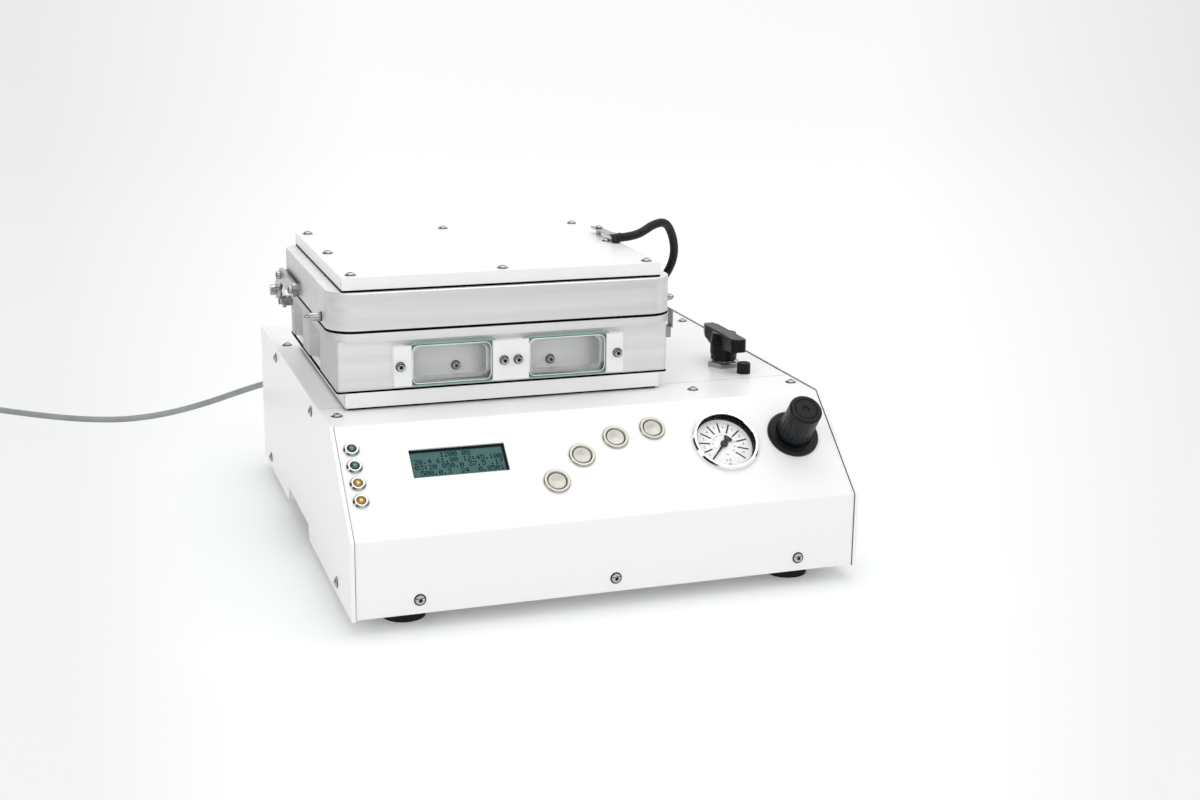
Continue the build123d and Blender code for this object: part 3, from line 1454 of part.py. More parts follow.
def plug_place(start, heading):
    """Where the plug lies: flat on the bench, its nose a little lower than the cord's end."""
    droop = (start.Z - plug_body[1] / 2 - bench_clearance) / (plug_relief_l + plug_body_l)
    up = Vector(0, 0, 1)
    lie = Plane(origin=start + heading * plug_gap, x_dir=heading.cross(up), z_dir=heading - up * droop)
    return lie.location


def main():
    os.makedirs("parts", exist_ok=True)
    save("bottom_pan", make_bottom_pan())
    save("front_cover", make_front_cover())
    save("rear_deck", make_rear_deck())
    save("rear_panel", make_rear_panel())
    save("left_side_panel", make_side_panel(-1))
    save("right_side_panel", make_side_panel(1))
    save("side_cover_plate", make_side_cover_plate())
    save("rubber_feet", *[place * make_foot() for place in foot_places])
    screw_spots = front_places + front_deck_places + rear_deck_places + rear_places
    screw_spots += side_places(-1) + side_places(1)
    screw = pan_screw()
    foot_screw = Pos(0, 0, foot_recess_h) * Rot(180, 0, 0) * pan_screw(foot_screw_l)
    foot_screws = [place * foot_screw for place in foot_places]
    save("housing_screws", *[place * screw for place in screw_spots], *foot_screws)

    display, screen = make_display()
    save("display_module", display)
    save("display_screen", screen)
    save("lamp_bezels", *[spot * make_lamp_bezel() for spot in lamp_places])
    save("lamp_lenses", *[spot * make_lamp_lens() for spot in lamp_places])
    bodies = []
    for name, (u, s) in button_places.items():
        spot = on_slope(u, s)
        bodies.append(spot * make_button_body())
        nut = hexagon(button_nut_af, button_barrel_r + running_gap, -sheet_t - nut_t, -sheet_t)
        bodies.append(spot * nut)
        save(f"button_{name}", spot * make_button_cap())
    save("button_bodies", *bodies)

    gauge_spot = on_slope(gauge_u, gauge_s)
    case, clamp, dial, glass = make_gauge()
    save("gauge_case", gauge_spot * case, gauge_spot * clamp)
    save("gauge_dial", gauge_spot * dial)
    save("gauge_glass", gauge_spot * glass)
    save("gauge_needle", gauge_spot * make_needle())
    regulator_spot = on_slope(regulator_u, regulator_s)
    body, ring, spindle = make_regulator()
    save("regulator_body", regulator_spot * body)
    save("regulator_ring", regulator_spot * ring)
    save("regulator_spindle", regulator_spot * spindle)
    save("regulator_knob", regulator_spot * make_knob())

    save("valve_body", *make_valve())
    save("valve_handle", *make_valve_handle())
    save("vent_silencer", make_silencer())

    buffers = [place * rod(buffer_r, 0, tray_gap + tray_h - sheet_t) for place in buffer_places()]
    save("rubber_buffers", *buffers)
    save("chamber_tray", make_tray())
    save("lower_chamber", make_lower_chamber())
    save("chamber_gasket", make_gasket())
    save("window_glasses", *make_window_glasses())
    save("window_clamps", *make_window_clamps())
    clamp_screws = [place * cap_screw(length=clamp_screw_l) for place in clamp_screw_places()]
    carrier_screws = [place * cap_screw() for place in carrier_screw_places()]
    hinge_screws = [
        place * cap_screw(length=hinge_base_screw_l)
        for side in (-1, 1)
        for place in hinge_screw_places(side, [hinge_base_screw], side_x(side, hinge_plate_t))
    ]
    save("chamber_screws", *clamp_screws, *carrier_screws, *hinge_screws)
    save("sample_carrier", make_carrier())

    left = make_hinge(-1)
    right = make_hinge(1)
    save("hinge_base_plates", left[0], right[0])
    save("hinge_lid_plates", left[1], right[1])
    save("hinge_pins", left[2], right[2])
    save("lid_block", make_lid_block())
    save("nozzle_plate", make_nozzle_plate())
    save("lid_cover", make_lid_cover())
    lid_screws = [Pos(0, 0, cover_top) * place * pan_screw() for place in boss_places()]
    lid_screws += [
        place * cap_screw(length=hinge_lid_screw_l)
        for side in (-1, 1)
        for place in hinge_screw_places(side, hinge_lid_screws, side_x(side, hinge_lid_out))
    ]
    lid_screws += [
        place * pan_screw(clip_t + clip_foot_h + sheet_t, clip_screw_head_r, shank_r=clip_screw_r)
        for place in clip_screw_places(cover_top + clip_foot_h + clip_t)
    ]
    save("lid_screws", *lid_screws)
    save("lid_side_pins", make_side_pin(-1), make_side_pin(1))
    save("lid_cable_clip", *make_clip())
    print("lid cable")
    save("lid_cable", cord_tube(lid_cable_route, lid_cable_r))
    save("cable_gland", make_gland())
    save("lid_switch", make_lid_switch())

    save("mains_inlet", make_inlet())
    frame, rocker = make_rocker()
    save("switch_frame", frame)
    save("switch_rocker", rocker)
    save("vacuum_port", make_vacuum_port())
    print("vacuum hose")
    save("vacuum_hose", cord_tube(hose_route, hose_r, hose_r - hose_wall))
    save("power_supply", make_power_supply())
    save("control_board", make_control_board())

    save("mains_connector", make_connector())
    print("mains lead")
    save("mains_lead", cord_tube(lead_route, lead_d / 2))
    arrive = Vector(*lead_route[-1]) - Vector(*lead_route[-2])
    up = Vector(0, 0, 1)
    coil_lie = Plane(origin=lead_route[-1], x_dir=arrive.cross(up), z_dir=up)
    coil_place = coil_lie.location * Pos(-coil_outer_r, lead_d, 0)
    print("mains coil")
    coil, tail_end, heading = make_coil()
    save("mains_coil", coil_place * coil)
    save("mains_plug", coil_place * plug_place(tail_end, heading) * make_plug())


main()
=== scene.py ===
# Looks of the laboratory evaporator: camera, light, floor, materials and fine pieces on the packed
# model, in its frame: metres, +Z up, +X to the right and +Y to the back
import json
from math import cos, hypot, pi, radians, sin

import bpy
from mathutils import Matrix, Vector


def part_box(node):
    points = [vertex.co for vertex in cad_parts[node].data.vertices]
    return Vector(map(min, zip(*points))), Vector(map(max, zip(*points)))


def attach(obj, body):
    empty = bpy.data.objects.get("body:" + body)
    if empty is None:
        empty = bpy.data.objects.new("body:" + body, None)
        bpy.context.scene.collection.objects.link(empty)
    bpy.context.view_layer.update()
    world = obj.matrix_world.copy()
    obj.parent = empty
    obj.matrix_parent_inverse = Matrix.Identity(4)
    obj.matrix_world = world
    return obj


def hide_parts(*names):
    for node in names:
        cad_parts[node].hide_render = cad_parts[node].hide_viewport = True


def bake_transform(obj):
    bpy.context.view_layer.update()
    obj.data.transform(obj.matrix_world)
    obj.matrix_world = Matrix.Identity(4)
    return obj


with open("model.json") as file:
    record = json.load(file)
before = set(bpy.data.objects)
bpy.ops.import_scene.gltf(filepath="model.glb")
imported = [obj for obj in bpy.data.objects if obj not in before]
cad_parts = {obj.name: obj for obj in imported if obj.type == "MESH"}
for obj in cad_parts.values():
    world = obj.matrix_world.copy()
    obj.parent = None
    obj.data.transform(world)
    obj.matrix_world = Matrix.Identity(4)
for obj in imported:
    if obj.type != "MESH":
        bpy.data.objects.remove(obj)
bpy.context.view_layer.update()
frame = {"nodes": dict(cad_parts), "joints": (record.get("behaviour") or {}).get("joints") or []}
nodes = frame["nodes"]
joints = {joint["name"]: joint for joint in frame["joints"]}
MM = 0.001

# The sloped face: its outward direction comes from the buttons' joints
SLOPE_OUT = -Vector(joints["enter_press"]["axis"])
SLOPE_UP = SLOPE_OUT.cross(Vector((1, 0, 0)))
GAUGE_CENTRE = Vector(joints["needle_swing"]["pos_m"])

# Camera, found from the housing's edges
CAMERA_PLACE = (-0.42646, -1.45027, 0.51122)
CAMERA_YAW = -0.3410
CAMERA_PITCH = 0.2284
CAMERA_ROLL = 0.0150
CAMERA_LENS = 51.731
CAMERA_SHIFT = (-0.01819, -0.04587)
CAMERA_CLIP = (0.05, 50.0)

# Floor, backdrop and the bend between them
STAGE_FRONT = -6.0
STAGE_BACK = 2.6
STAGE_HALF_W = 9.0
STAGE_TOP = 5.0
STAGE_BEND_R = 1.6
STAGE_STEPS = 14
FLOOR_COLOUR = (0.90, 0.905, 0.91)
FLOOR_ROUGH = 0.9

# Their glow: its share by distance from the object's footprint, where mirrors see it end at the front,
# and its strength in a pool of light, by sideways slope and by depth
GLOW_COLOUR = (0.985, 0.99, 1.0)
FOOTPRINT = (0.205, 0.235, 0.0)
NEAR_GLOW = 0.15
GLOW_REACH = (0.0, 0.16)
FRONT_EDGE = (-1.7, -1.1)
FRONT_DARK = 0.16
POOL_SIDE = ((0.15, 0.34), (1.04, 0.88))
POOL_DEPTH = ((1.0, 6.0), (1.05, 0.92))

# World: its plain strength, and what mirrors see of it by height and from left to right
WORLD_COLOUR = (0.97, 0.985, 1.0)
WORLD_STRENGTH = 0.66
STUDIO_LEVELS = (
    (0.0, 0.12), (0.22, 0.12), (0.27, 0.90), (0.45, 1.05), (0.72, 1.05), (0.76, 0.60), (1.0, 0.60),
)
STUDIO_LEFT = 0.05
STUDIO_TURN = (-0.8, 0.0)

# Lights: name, place, size and power in watts. All look at one target
LIGHTS = (
    ("top_light", (0.2, 0.3, 2.4), (2.6, 2.2), 27.0),
    ("front_light", (-0.4, -3.4, 1.7), (3.2, 2.0), 18.0),
    ("left_light", (-2.2, -1.4, 1.6), (1.6, 1.6), 13.0),
    ("right_light", (2.2, -1.0, 1.3), (1.4, 1.4), 6.0),
)
LIGHT_COLOUR = (1.0, 0.995, 0.985)
LIGHT_TARGET = (0.0, 0.0, 0.1)

# Cords: fineness round them, along them, and of a line through them
CORD_ROUND = 5
CORD_FINE = 6
LINE_FINE = 40

# Mains lead on the model's route, with its put-away coil and the strap round it
LEAD_D = 6.5 * MM
LEAD_ROUTE = (
    (-0.14885, 0.2681, 0.066), (-0.14885, 0.2881, 0.066), (-0.15635, 0.3171, 0.063),
    (-0.17885, 0.3471, 0.054), (-0.21085, 0.3751, 0.038), (-0.24885, 0.3971, 0.0203),
    (-0.29085, 0.4111, 0.008), (-0.32985, 0.4181, 0.0036), (-0.36485, 0.4286, 0.00335),
    (-0.39785, 0.4481, 0.0033), (-0.42985, 0.4726, 0.0033), (-0.46185, 0.5001, 0.0033),
    (-0.48685, 0.5226, 0.0033), (-0.50285, 0.5401, 0.0033),
)
COIL_OUTER_R = 47.0 * MM
COIL_PITCH = 7.0 * MM
COIL_TURNS_IN = 3
COIL_TAIL = 13.0 * MM
COIL_STEPS = 12             # points in half a turn
TIE_WAY = (-0.35, 1.0, 0.0)
TIE_GAP = 0.6 * MM
TIE_T = 0.9 * MM
TIE_W = 11.0 * MM
TIE_LOWEST = TIE_T / 8      # its height over the floor
FLAT = Vector((1, 1, 0))    # takes the height out of a point

# Lid cable in its braided sleeve, on the model's route with a rounder bend at the top
LID_CABLE_D = 8.0 * MM
LID_CABLE_ROUTE = (
    (0.12315, 0.0591, 0.1575), (0.12315, 0.0591, 0.170), (0.12915, 0.0576, 0.184),
    (0.14215, 0.0541, 0.196), (0.15165, 0.0481, 0.2115), (0.15365, 0.0396, 0.229),
    (0.14700, 0.0286, 0.2480), (0.13550, 0.0176, 0.2632), (0.11965, 0.0071, 0.2630),
    (0.10515, -0.0014, 0.2572), (0.09265, -0.0074, 0.2552), (0.08215, -0.0099, 0.2550),
)
SLEEVE_SIDES = 32
SLEEVE_STRANDS = 8
SLEEVE_STEP = 0.8 * MM
SLEEVE_PITCH = 6.2 * MM
SLEEVE_RELIEF = 0.022

# Dial scale: degrees, marks in parts of the dial's radius, and the numbers below its middle: place,
# height in millimetres and look
DIAL_START = 225.0
DIAL_SWEEP = 270.0
DIAL_STEPS = 10
DIAL_TICK = (0.47, 0.86)
DIAL_TICK_W = 1.4 * MM
DIAL_NUMBER_R = 0.70
DIAL_NUMBER_H = 3.8 * MM
DIAL_RED_R = 0.37
DIAL_RED_H = 2.5 * MM
DIAL_RED_STEP = 15
DIAL_PIECES = {"ink": "dial_marks", "grey_ink": "dial_grey_marks", "red_ink": "dial_red_marks"}
DIAL_DOWN = 270.0
DIAL_LOWER = (("1.6", 0.62, 4.0, "grey_ink"), ("10", 0.78, 3.2, "ink"), ("15", 0.40, 3.0, "red_ink"))
BORE_SHADE_INSET = 0.15 * MM
MARK_LIFT = 0.04 * MM

# Needle: half its outline as parts of its length and millimetres aside, its hub, and where it lies
# between the dial and the solid needle's top
NEEDLE_LINE = ((1.0, 0.35), (0.15, 1.2), (-0.12, 1.0), (-0.40, 4.0), (-0.46, 3.2), (-0.49, 0.0))
HUB_R = 3.1 * MM
HUB_SIDES = 24
NEEDLE_SHARE = (0.45, 0.75)

# Display: pitch of its characters and dots, half the size of what shows, and its dark edge
CELL_PITCH = (3.55 * MM, 5.35 * MM)
DOT_PITCH = 0.62 * MM
DOT_SIZE = 0.68 * MM
SCREEN_SEEN = (38.5 * MM, 13.1 * MM)
SCREEN_EDGE = 1.5 * MM
SCREEN_UNDER = 0.5 * MM
SCREEN_CORNER_R = 0.3 * MM
SHOWN_LINES = (
    "      1200 08       ", "20.4 61.80 12:45.100", "03:20 850.0 37.5 .17", " 500.0.3  24  0.8501",
)
DOT_DIGITS = {
    "0": "01110 10001 10011 10101 11001 10001 01110", "1": "00100 01100 00100 00100 00100 00100 01110",
    "2": "01110 10001 00001 00010 00100 01000 11111", "3": "11111 00010 00100 00010 00001 10001 01110",
    "4": "00010 00110 01010 10010 11111 00010 00010", "5": "11111 10000 11110 00001 00001 10001 01110",
    "6": "00110 01000 10000 11110 10001 10001 01110", "7": "11111 00001 00010 00100 01000 01000 01000",
    "8": "01110 10001 10001 01110 10001 10001 01110", ".": "00000 00000 00000 00000 00000 01100 01100",
    ":": "00000 01100 01100 00000 01100 01100 00000",
}

# Screw heads: rings as shares of radius and height, which are hexagons, and above which the metal is
# darkened as painted shade, round the seat, at a cap head's top edge and in the socket. Heads taller
# than a share of their radius are cap heads
HEAD_SIDES = 24
HEAD_EDGE = 0.93
HEAD_TALL = 0.8
HEAD_SHARP = 35.0
SOCKET_TURN = 17.0          # degrees from one screw to the next
SHANK_SHARE = 0.5
PAN_HEAD = (
    ((1.24, 0.0), (1.24, 0.05), (1.0, 0.08), (1.0, 0.22), (0.955, 0.45), (0.85, 0.68), (0.68, 0.87),
     (0.52, 0.97), (0.37, 1.0), (0.36, 0.40), (0.08, 0.30)), (8, 9), (0, 1, 2, 8, 9),
)
CAP_HEAD = (
    ((1.16, 0.0), (1.16, 0.03), (1.0, 0.05), (1.0, 0.84), (0.96, 0.95), (0.86, 1.0), (0.62, 1.0),
     (0.45, 1.0), (0.44, 0.50), (0.10, 0.44)), (7, 8), (0, 1, 3, 4, 7, 8),
)

# The lid's side pins: shares of their length and radii in millimetres. The first rings are a washer,
# darkened as painted shade
PIN_LINE = ((0.0, 4.1), (0.05, 4.1), (0.05, 3.5), (0.52, 3.5), (0.78, 2.7), (0.93, 1.5), (1.0, 0.5))
PIN_DARK = 2

# Windows' rims: width, height and corner radius of each line in millimetres, and the looks between, the
# last a painted highlight
RIM_LINES = ((75.0, 35.4, 7.0), (72.8, 33.8, 6.2), (66.4, 32.0, 5.4), (65.0, 30.8, 4.9))
RIM_LOOKS = ("glass_edge", "glass_line", "glass_bevel_highlight")

# Corner seams of tray and lid cover, with what is left free at foot and head
SEAM_INSET = 3.6 * MM
SEAM_W = 0.45 * MM
SEAM_LIFT = 0.06 * MM
SEAM_FOOT = 0.2 * MM
SEAM_HEAD = 2.0 * MM
SEAM_PIECES = (("chamber_tray", "housing", "tray_paint"), ("lid_cover", "lid", "cover_paint"))

# Painted shade in the gaps, as thin dark bands: thickness, how far they stand out, reach over and under
# their gaps, and the corners' radii
GAP_SHADE_T = 1.5 * MM
GAP_SHADE_PROUD = 0.15 * MM
GAP_SHADE_OVER = 1.05 * MM
GAP_SHADE_UNDER = 0.65 * MM
TRAY_GAP_SHADE_PROUD = 0.5 * MM
TRAY_GAP_SHADE_H = 1.5 * MM
UNDER_TRAY_SHADE_INSET = 3.0 * MM
UNDER_TRAY_SHADE_RISE = 3.0 * MM
LID_CORNER_R = 22.0 * MM
TRAY_CORNER_R = 3.0 * MM
UNDER_TRAY_SHADE_CORNER_R = 4.0 * MM
GAP_SHADE_CORNER_R = 0.5 * MM    # the least one
LEVEL_WITHIN = 0.1 * MM

# Second looks of faces: how squarely they face a direction, and the sizes of their places
FACING = 0.9
FACING_DOWN = 0.5
FACING_IN = 0.01
SIDE_FACING = (0.35, 0.98)
GAUGE_BORE_R = 25.2 * MM
FERRULE_L = 7.6 * MM
DECK_SEAM_REACH = 0.5 * MM
LENS_HIGHLIGHT_R = 1.3 * MM


# Small helpers

def link(obj):
    """Put an object into the scene."""
    bpy.context.scene.collection.objects.link(obj)
    return obj


def add_mesh(name, verts, faces, mat, body="housing", slot=None, smooth=False):
    """A mesh piece from points and faces, which rides on a body."""
    mesh = bpy.data.meshes.new(name)
    mesh.from_pydata(verts, [], faces)
    mesh.update()
    mesh.polygons.foreach_set("use_smooth", [smooth] * len(mesh.polygons))
    mesh.materials.append(mat)
    obj = link(bpy.data.objects.new(name, mesh))
    if body:
        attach(obj, body)
    return obj


def points_of(name):
    """A node's points."""
    return [vert.co for vert in nodes[name].data.vertices]


def heights_of(name):
    """How far out of the slope a node's points lie."""
    return [point.dot(SLOPE_OUT) for point in points_of(name)]


def flattened(vector):
    """The part of a vector that lies in the sloped face."""
    return vector - SLOPE_OUT * vector.dot(SLOPE_OUT)


def slope_point(centre, right, up):
    """A point on the sloped face, counted from a centre."""
    return centre + Vector((1, 0, 0)) * right + SLOPE_UP * up


def lifted(centre, name):
    """A centre moved out of the slope until it lies just above a node."""
    return centre + SLOPE_OUT * (max(heights_of(name)) + MARK_LIFT - centre.dot(SLOPE_OUT))


def loose_parts(name):
    """A node's separate solids, each as a list of points."""
    mesh = nodes[name].data
    spots = [tuple(round(value, 6) for value in vert.co) for vert in mesh.vertices]
    parent = {spot: spot for spot in spots}

    def root(spot):
        """The spot that stands for all that hang together with one."""
        while parent[spot] != spot:
            parent[spot] = parent[parent[spot]]
            spot = parent[spot]
        return spot

    for edge in mesh.edges:
        parent[root(spots[edge.vertices[0]])] = root(spots[edge.vertices[1]])
    parts = {}
    for spot in parent:
        parts.setdefault(root(spot), []).append(Vector(spot))
    return list(parts.values())


def box_of(points):
    """The low and the high corner of the box round some points."""
    return [[pick(point[i] for point in points) for i in range(3)] for pick in (min, max)]


def middle_of(points):
    """The middle of the box round some points."""
    low, high = box_of(points)
    return (Vector(low) + Vector(high)) / 2


def node_box(name):
    """The low and the high corner of a node's box."""
    return [Vector(corner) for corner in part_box(name)]


def add_block(verts, faces, centre, half):
    """Add a block to lists of points and faces."""
    first = len(verts)
    for x in (-1, 1):
        for y in (-1, 1):
            for z in (-1, 1):
                verts.append(Vector(centre) + Vector((x * half[0], y * half[1], z * half[2])))
    quads = ((0, 1, 3, 2), (4, 6, 7, 5), (0, 4, 5, 1), (2, 3, 7, 6), (0, 2, 6, 4), (1, 5, 7, 3))
    faces.extend(tuple(first + i for i in quad) for quad in quads)


def band(verts, faces, first_loop, second_loop):
    """Add a band between two loops of points."""
    start, count = len(verts), len(first_loop)
    verts.extend(first_loop)
    verts.extend(second_loop)
    for i in range(count):
        j = (i + 1) % count
        faces.append((start + i, start + j, start + count + j, start + count + i))


def skin_rings(verts, faces, start, sides):
    """Skin and cap the rings of points from a start on. Returns its first face's number."""
    first = len(faces)
    for ring in range((len(verts) - start) // sides - 1):
        for step in range(sides):
            here, after = (start + ring * sides + i % sides for i in (step, step + 1))
            faces.append((here, after, after + sides, here + sides))
    faces.append(tuple(range(start, start + sides))[::-1])
    faces.append(tuple(range(len(verts) - sides, len(verts))))
    return first


def sharpened(obj, angle=32.0):
    """Smooth faces with sharp edges where they meet at more than an angle."""
    obj.data.polygons.foreach_set("use_smooth", [True] * len(obj.data.polygons))
    obj.data.set_sharp_from_angle(angle=radians(angle))
    return obj


def rounded_loop(half_w, half_h, radius, steps=6):
    """Points round a rectangle with round corners."""
    points = []
    for number, (x, y) in enumerate(((1, 1), (-1, 1), (-1, -1), (1, -1))):
        for step in range(steps + 1):
            angle = radians(90) * (number + step / steps)
            right = x * (half_w - radius) + radius * cos(angle)
            points.append((right, y * (half_h - radius) + radius * sin(angle)))
    return points


# Materials

def shader_of(mat):
    """A material's Principled node."""
    return mat.node_tree.nodes["Principled BSDF"]


def new_material(name, colour, rough, metallic=0.0, **sockets):
    """A Principled material with plain values on its sockets."""
    mat = bpy.data.materials.new(name)
    mat.use_nodes = True
    values = {"Base_Color": (*colour, 1), "Roughness": rough, "Metallic": metallic, **sockets}
    for socket, value in values.items():
        shader_of(mat).inputs[socket.replace("_", " ")].default_value = value
    return mat


def feed(mat, socket, value):
    """Give an input socket a plain value or an output socket."""
    if isinstance(value, bpy.types.NodeSocket):
        mat.node_tree.links.new(value, socket)
    else:
        socket.default_value = value


def node(mat, kind, **values):
    """A new node, with its properties and sockets set by name."""
    made = mat.node_tree.nodes.new(kind)
    for key, value in values.items():
        if hasattr(made, key):
            setattr(made, key, value)
        else:
            feed(mat, made.inputs[key.replace("_", " ")], value)
    return made


def maths(mat, operation, *values, kind="ShaderNodeMath", result="Value"):
    """The result of a maths node on some values."""
    made = node(mat, kind, operation=operation)
    for socket, value in zip(made.inputs, values):
        feed(mat, socket, value)
    return made.outputs[result]


def vector_maths(mat, operation, *values, result="Vector"):
    """The result of a vector maths node on some values."""
    return maths(mat, operation, *values, kind="ShaderNodeVectorMath", result=result)


def split(mat, vector):
    """A vector's parts, as sockets named X, Y and Z."""
    return node(mat, "ShaderNodeSeparateXYZ", Vector=vector).outputs


def mix_shaders(mat, factor, first, second, end):
    """Join a blend of two shader nodes by a factor to an output node."""
    mix = node(mat, "ShaderNodeMixShader")
    for socket, value in zip(mix.inputs, (factor, first.outputs[0], second.outputs[0])):
        feed(mat, socket, value)
    feed(mat, mat.node_tree.nodes[end].inputs["Surface"], mix.outputs[0])


def scaled(colour, share):
    """A colour made darker or lighter."""
    return tuple(share * part for part in colour)


def noise(mat, scale, detail=3.0, stretch=(1, 1, 1)):
    """Noise in object space. Scale is in waves a metre."""
    place = node(mat, "ShaderNodeTexCoord").outputs["Object"]
    turned = node(mat, "ShaderNodeMapping", Vector=place, Scale=stretch).outputs["Vector"]
    return node(mat, "ShaderNodeTexNoise", Vector=turned, Scale=scale, Detail=detail).outputs["Fac"]


def remap(mat, value, low, high, start=0.3, end=0.7):
    """A value spread from the range start to end over the range low to high."""
    ranges = {"From_Min": start, "From_Max": end, "To_Min": low, "To_Max": high}
    return node(mat, "ShaderNodeMapRange", Value=value, **ranges).outputs["Result"]


def vary_roughness(mat, grain, rough, drift):
    """Roughness that drifts both ways by a noise."""
    feed(mat, shader_of(mat).inputs["Roughness"], remap(mat, grain, rough - drift, rough + drift))


def vary_colour(mat, grain, first, second):
    """Blend two colours by a noise."""
    mix = node(mat, "ShaderNodeMix", data_type="RGBA", Factor=remap(mat, grain, 0, 1))
    colours = [socket for socket in mix.inputs if socket.type == "RGBA"]
    colours[0].default_value = (*first, 1)
    colours[1].default_value = (*second, 1)
    result = [socket for socket in mix.outputs if socket.type == "RGBA"][0]
    feed(mat, shader_of(mat).inputs["Base Color"], result)


def add_bump(mat, height, depth, strength):
    """Bump from a height, with its depth in millimetres."""
    bump = node(mat, "ShaderNodeBump", Strength=strength, Distance=depth * MM, Height=height)
    feed(mat, shader_of(mat).inputs["Normal"], bump.outputs["Normal"])


def paint(name, colour, rough=0.30):
    """Smooth powder coat with a faint drift of colour and gloss."""
    mat = new_material(name, colour, rough)
    vary_colour(mat, noise(mat, scale=5.0, detail=1.0), scaled(colour, 0.996), colour)
    vary_roughness(mat, noise(mat, scale=8.0, detail=1.0), rough, drift=0.004)
    return mat


def metal(name, colour, rough, stretch=(1, 1, 1), streak=0.06, depth=0.01):
    """Machined metal: fine streaks in its gloss and its surface along one axis."""
    mat = new_material(name, colour, rough, metallic=1.0)
    lines = noise(mat, scale=900.0, detail=4.0, stretch=stretch)
    vary_roughness(mat, lines, rough, streak)
    bands = noise(mat, scale=130.0, detail=4.0, stretch=stretch)
    vary_colour(mat, bands, scaled(colour, 0.90), colour)
    add_bump(mat, lines, depth, strength=0.3)
    return mat


def shade_faces_along_x(mat, share):
    """Darken the faces whose normal lies along X: painted shade on the sides."""
    normal = node(mat, "ShaderNodeNewGeometry").outputs["Normal"]
    aside = maths(mat, "ABSOLUTE", split(mat, normal)["X"])
    base = shader_of(mat).inputs["Base Color"]
    darker = node(
        mat, "ShaderNodeVectorMath", operation="SCALE", Vector=base.links[0].from_socket,
        Scale=remap(mat, aside, 1.0, share, *SIDE_FACING),
    )
    feed(mat, base, darker.outputs["Vector"])
    return mat


def plastic(name, colour, rough, grain=1500.0, depth=0.04, gloss=0.5, drift=1.25):
    """Moulded plastic or rubber with a fine grain."""
    mat = new_material(name, colour, rough, Specular_IOR_Level=gloss)
    grit = noise(mat, grain, detail=2.0)
    vary_roughness(mat, noise(mat, scale=120.0), rough, drift=0.06)
    vary_colour(mat, noise(mat, scale=35.0, detail=4.0), colour, scaled(colour, drift))
    add_bump(mat, grit, depth, strength=0.4)
    return mat


def clear_glass(name, tint, share):
    """Clean glass: mostly see-through, with a share of mirror on it, and faint smears."""
    mat = new_material(name, tint, rough=0.03, metallic=1.0, Alpha=share)
    vary_roughness(mat, noise(mat, scale=45.0), rough=0.055, drift=0.035)
    return mat


def lit(name, colour, glow, strength):
    """Coloured plastic with a little light of its own: the lamps' lenses, and painted light on the dial
    and at the lenses' middles.
    """
    own = {"Emission_Color": (*glow, 1), "Emission_Strength": strength}
    mat = new_material(name, colour, rough=0.12, Coat_Weight=0.6, Coat_Roughness=0.05, **own)
    vary_colour(mat, noise(mat, scale=700.0, detail=2.0), scaled(colour, 0.8), colour)
    return mat


ALONG_X = (0.02, 1, 1)
ALONG_Z = (1, 1, 0.02)
WHITE = (0.885, 0.885, 0.87)
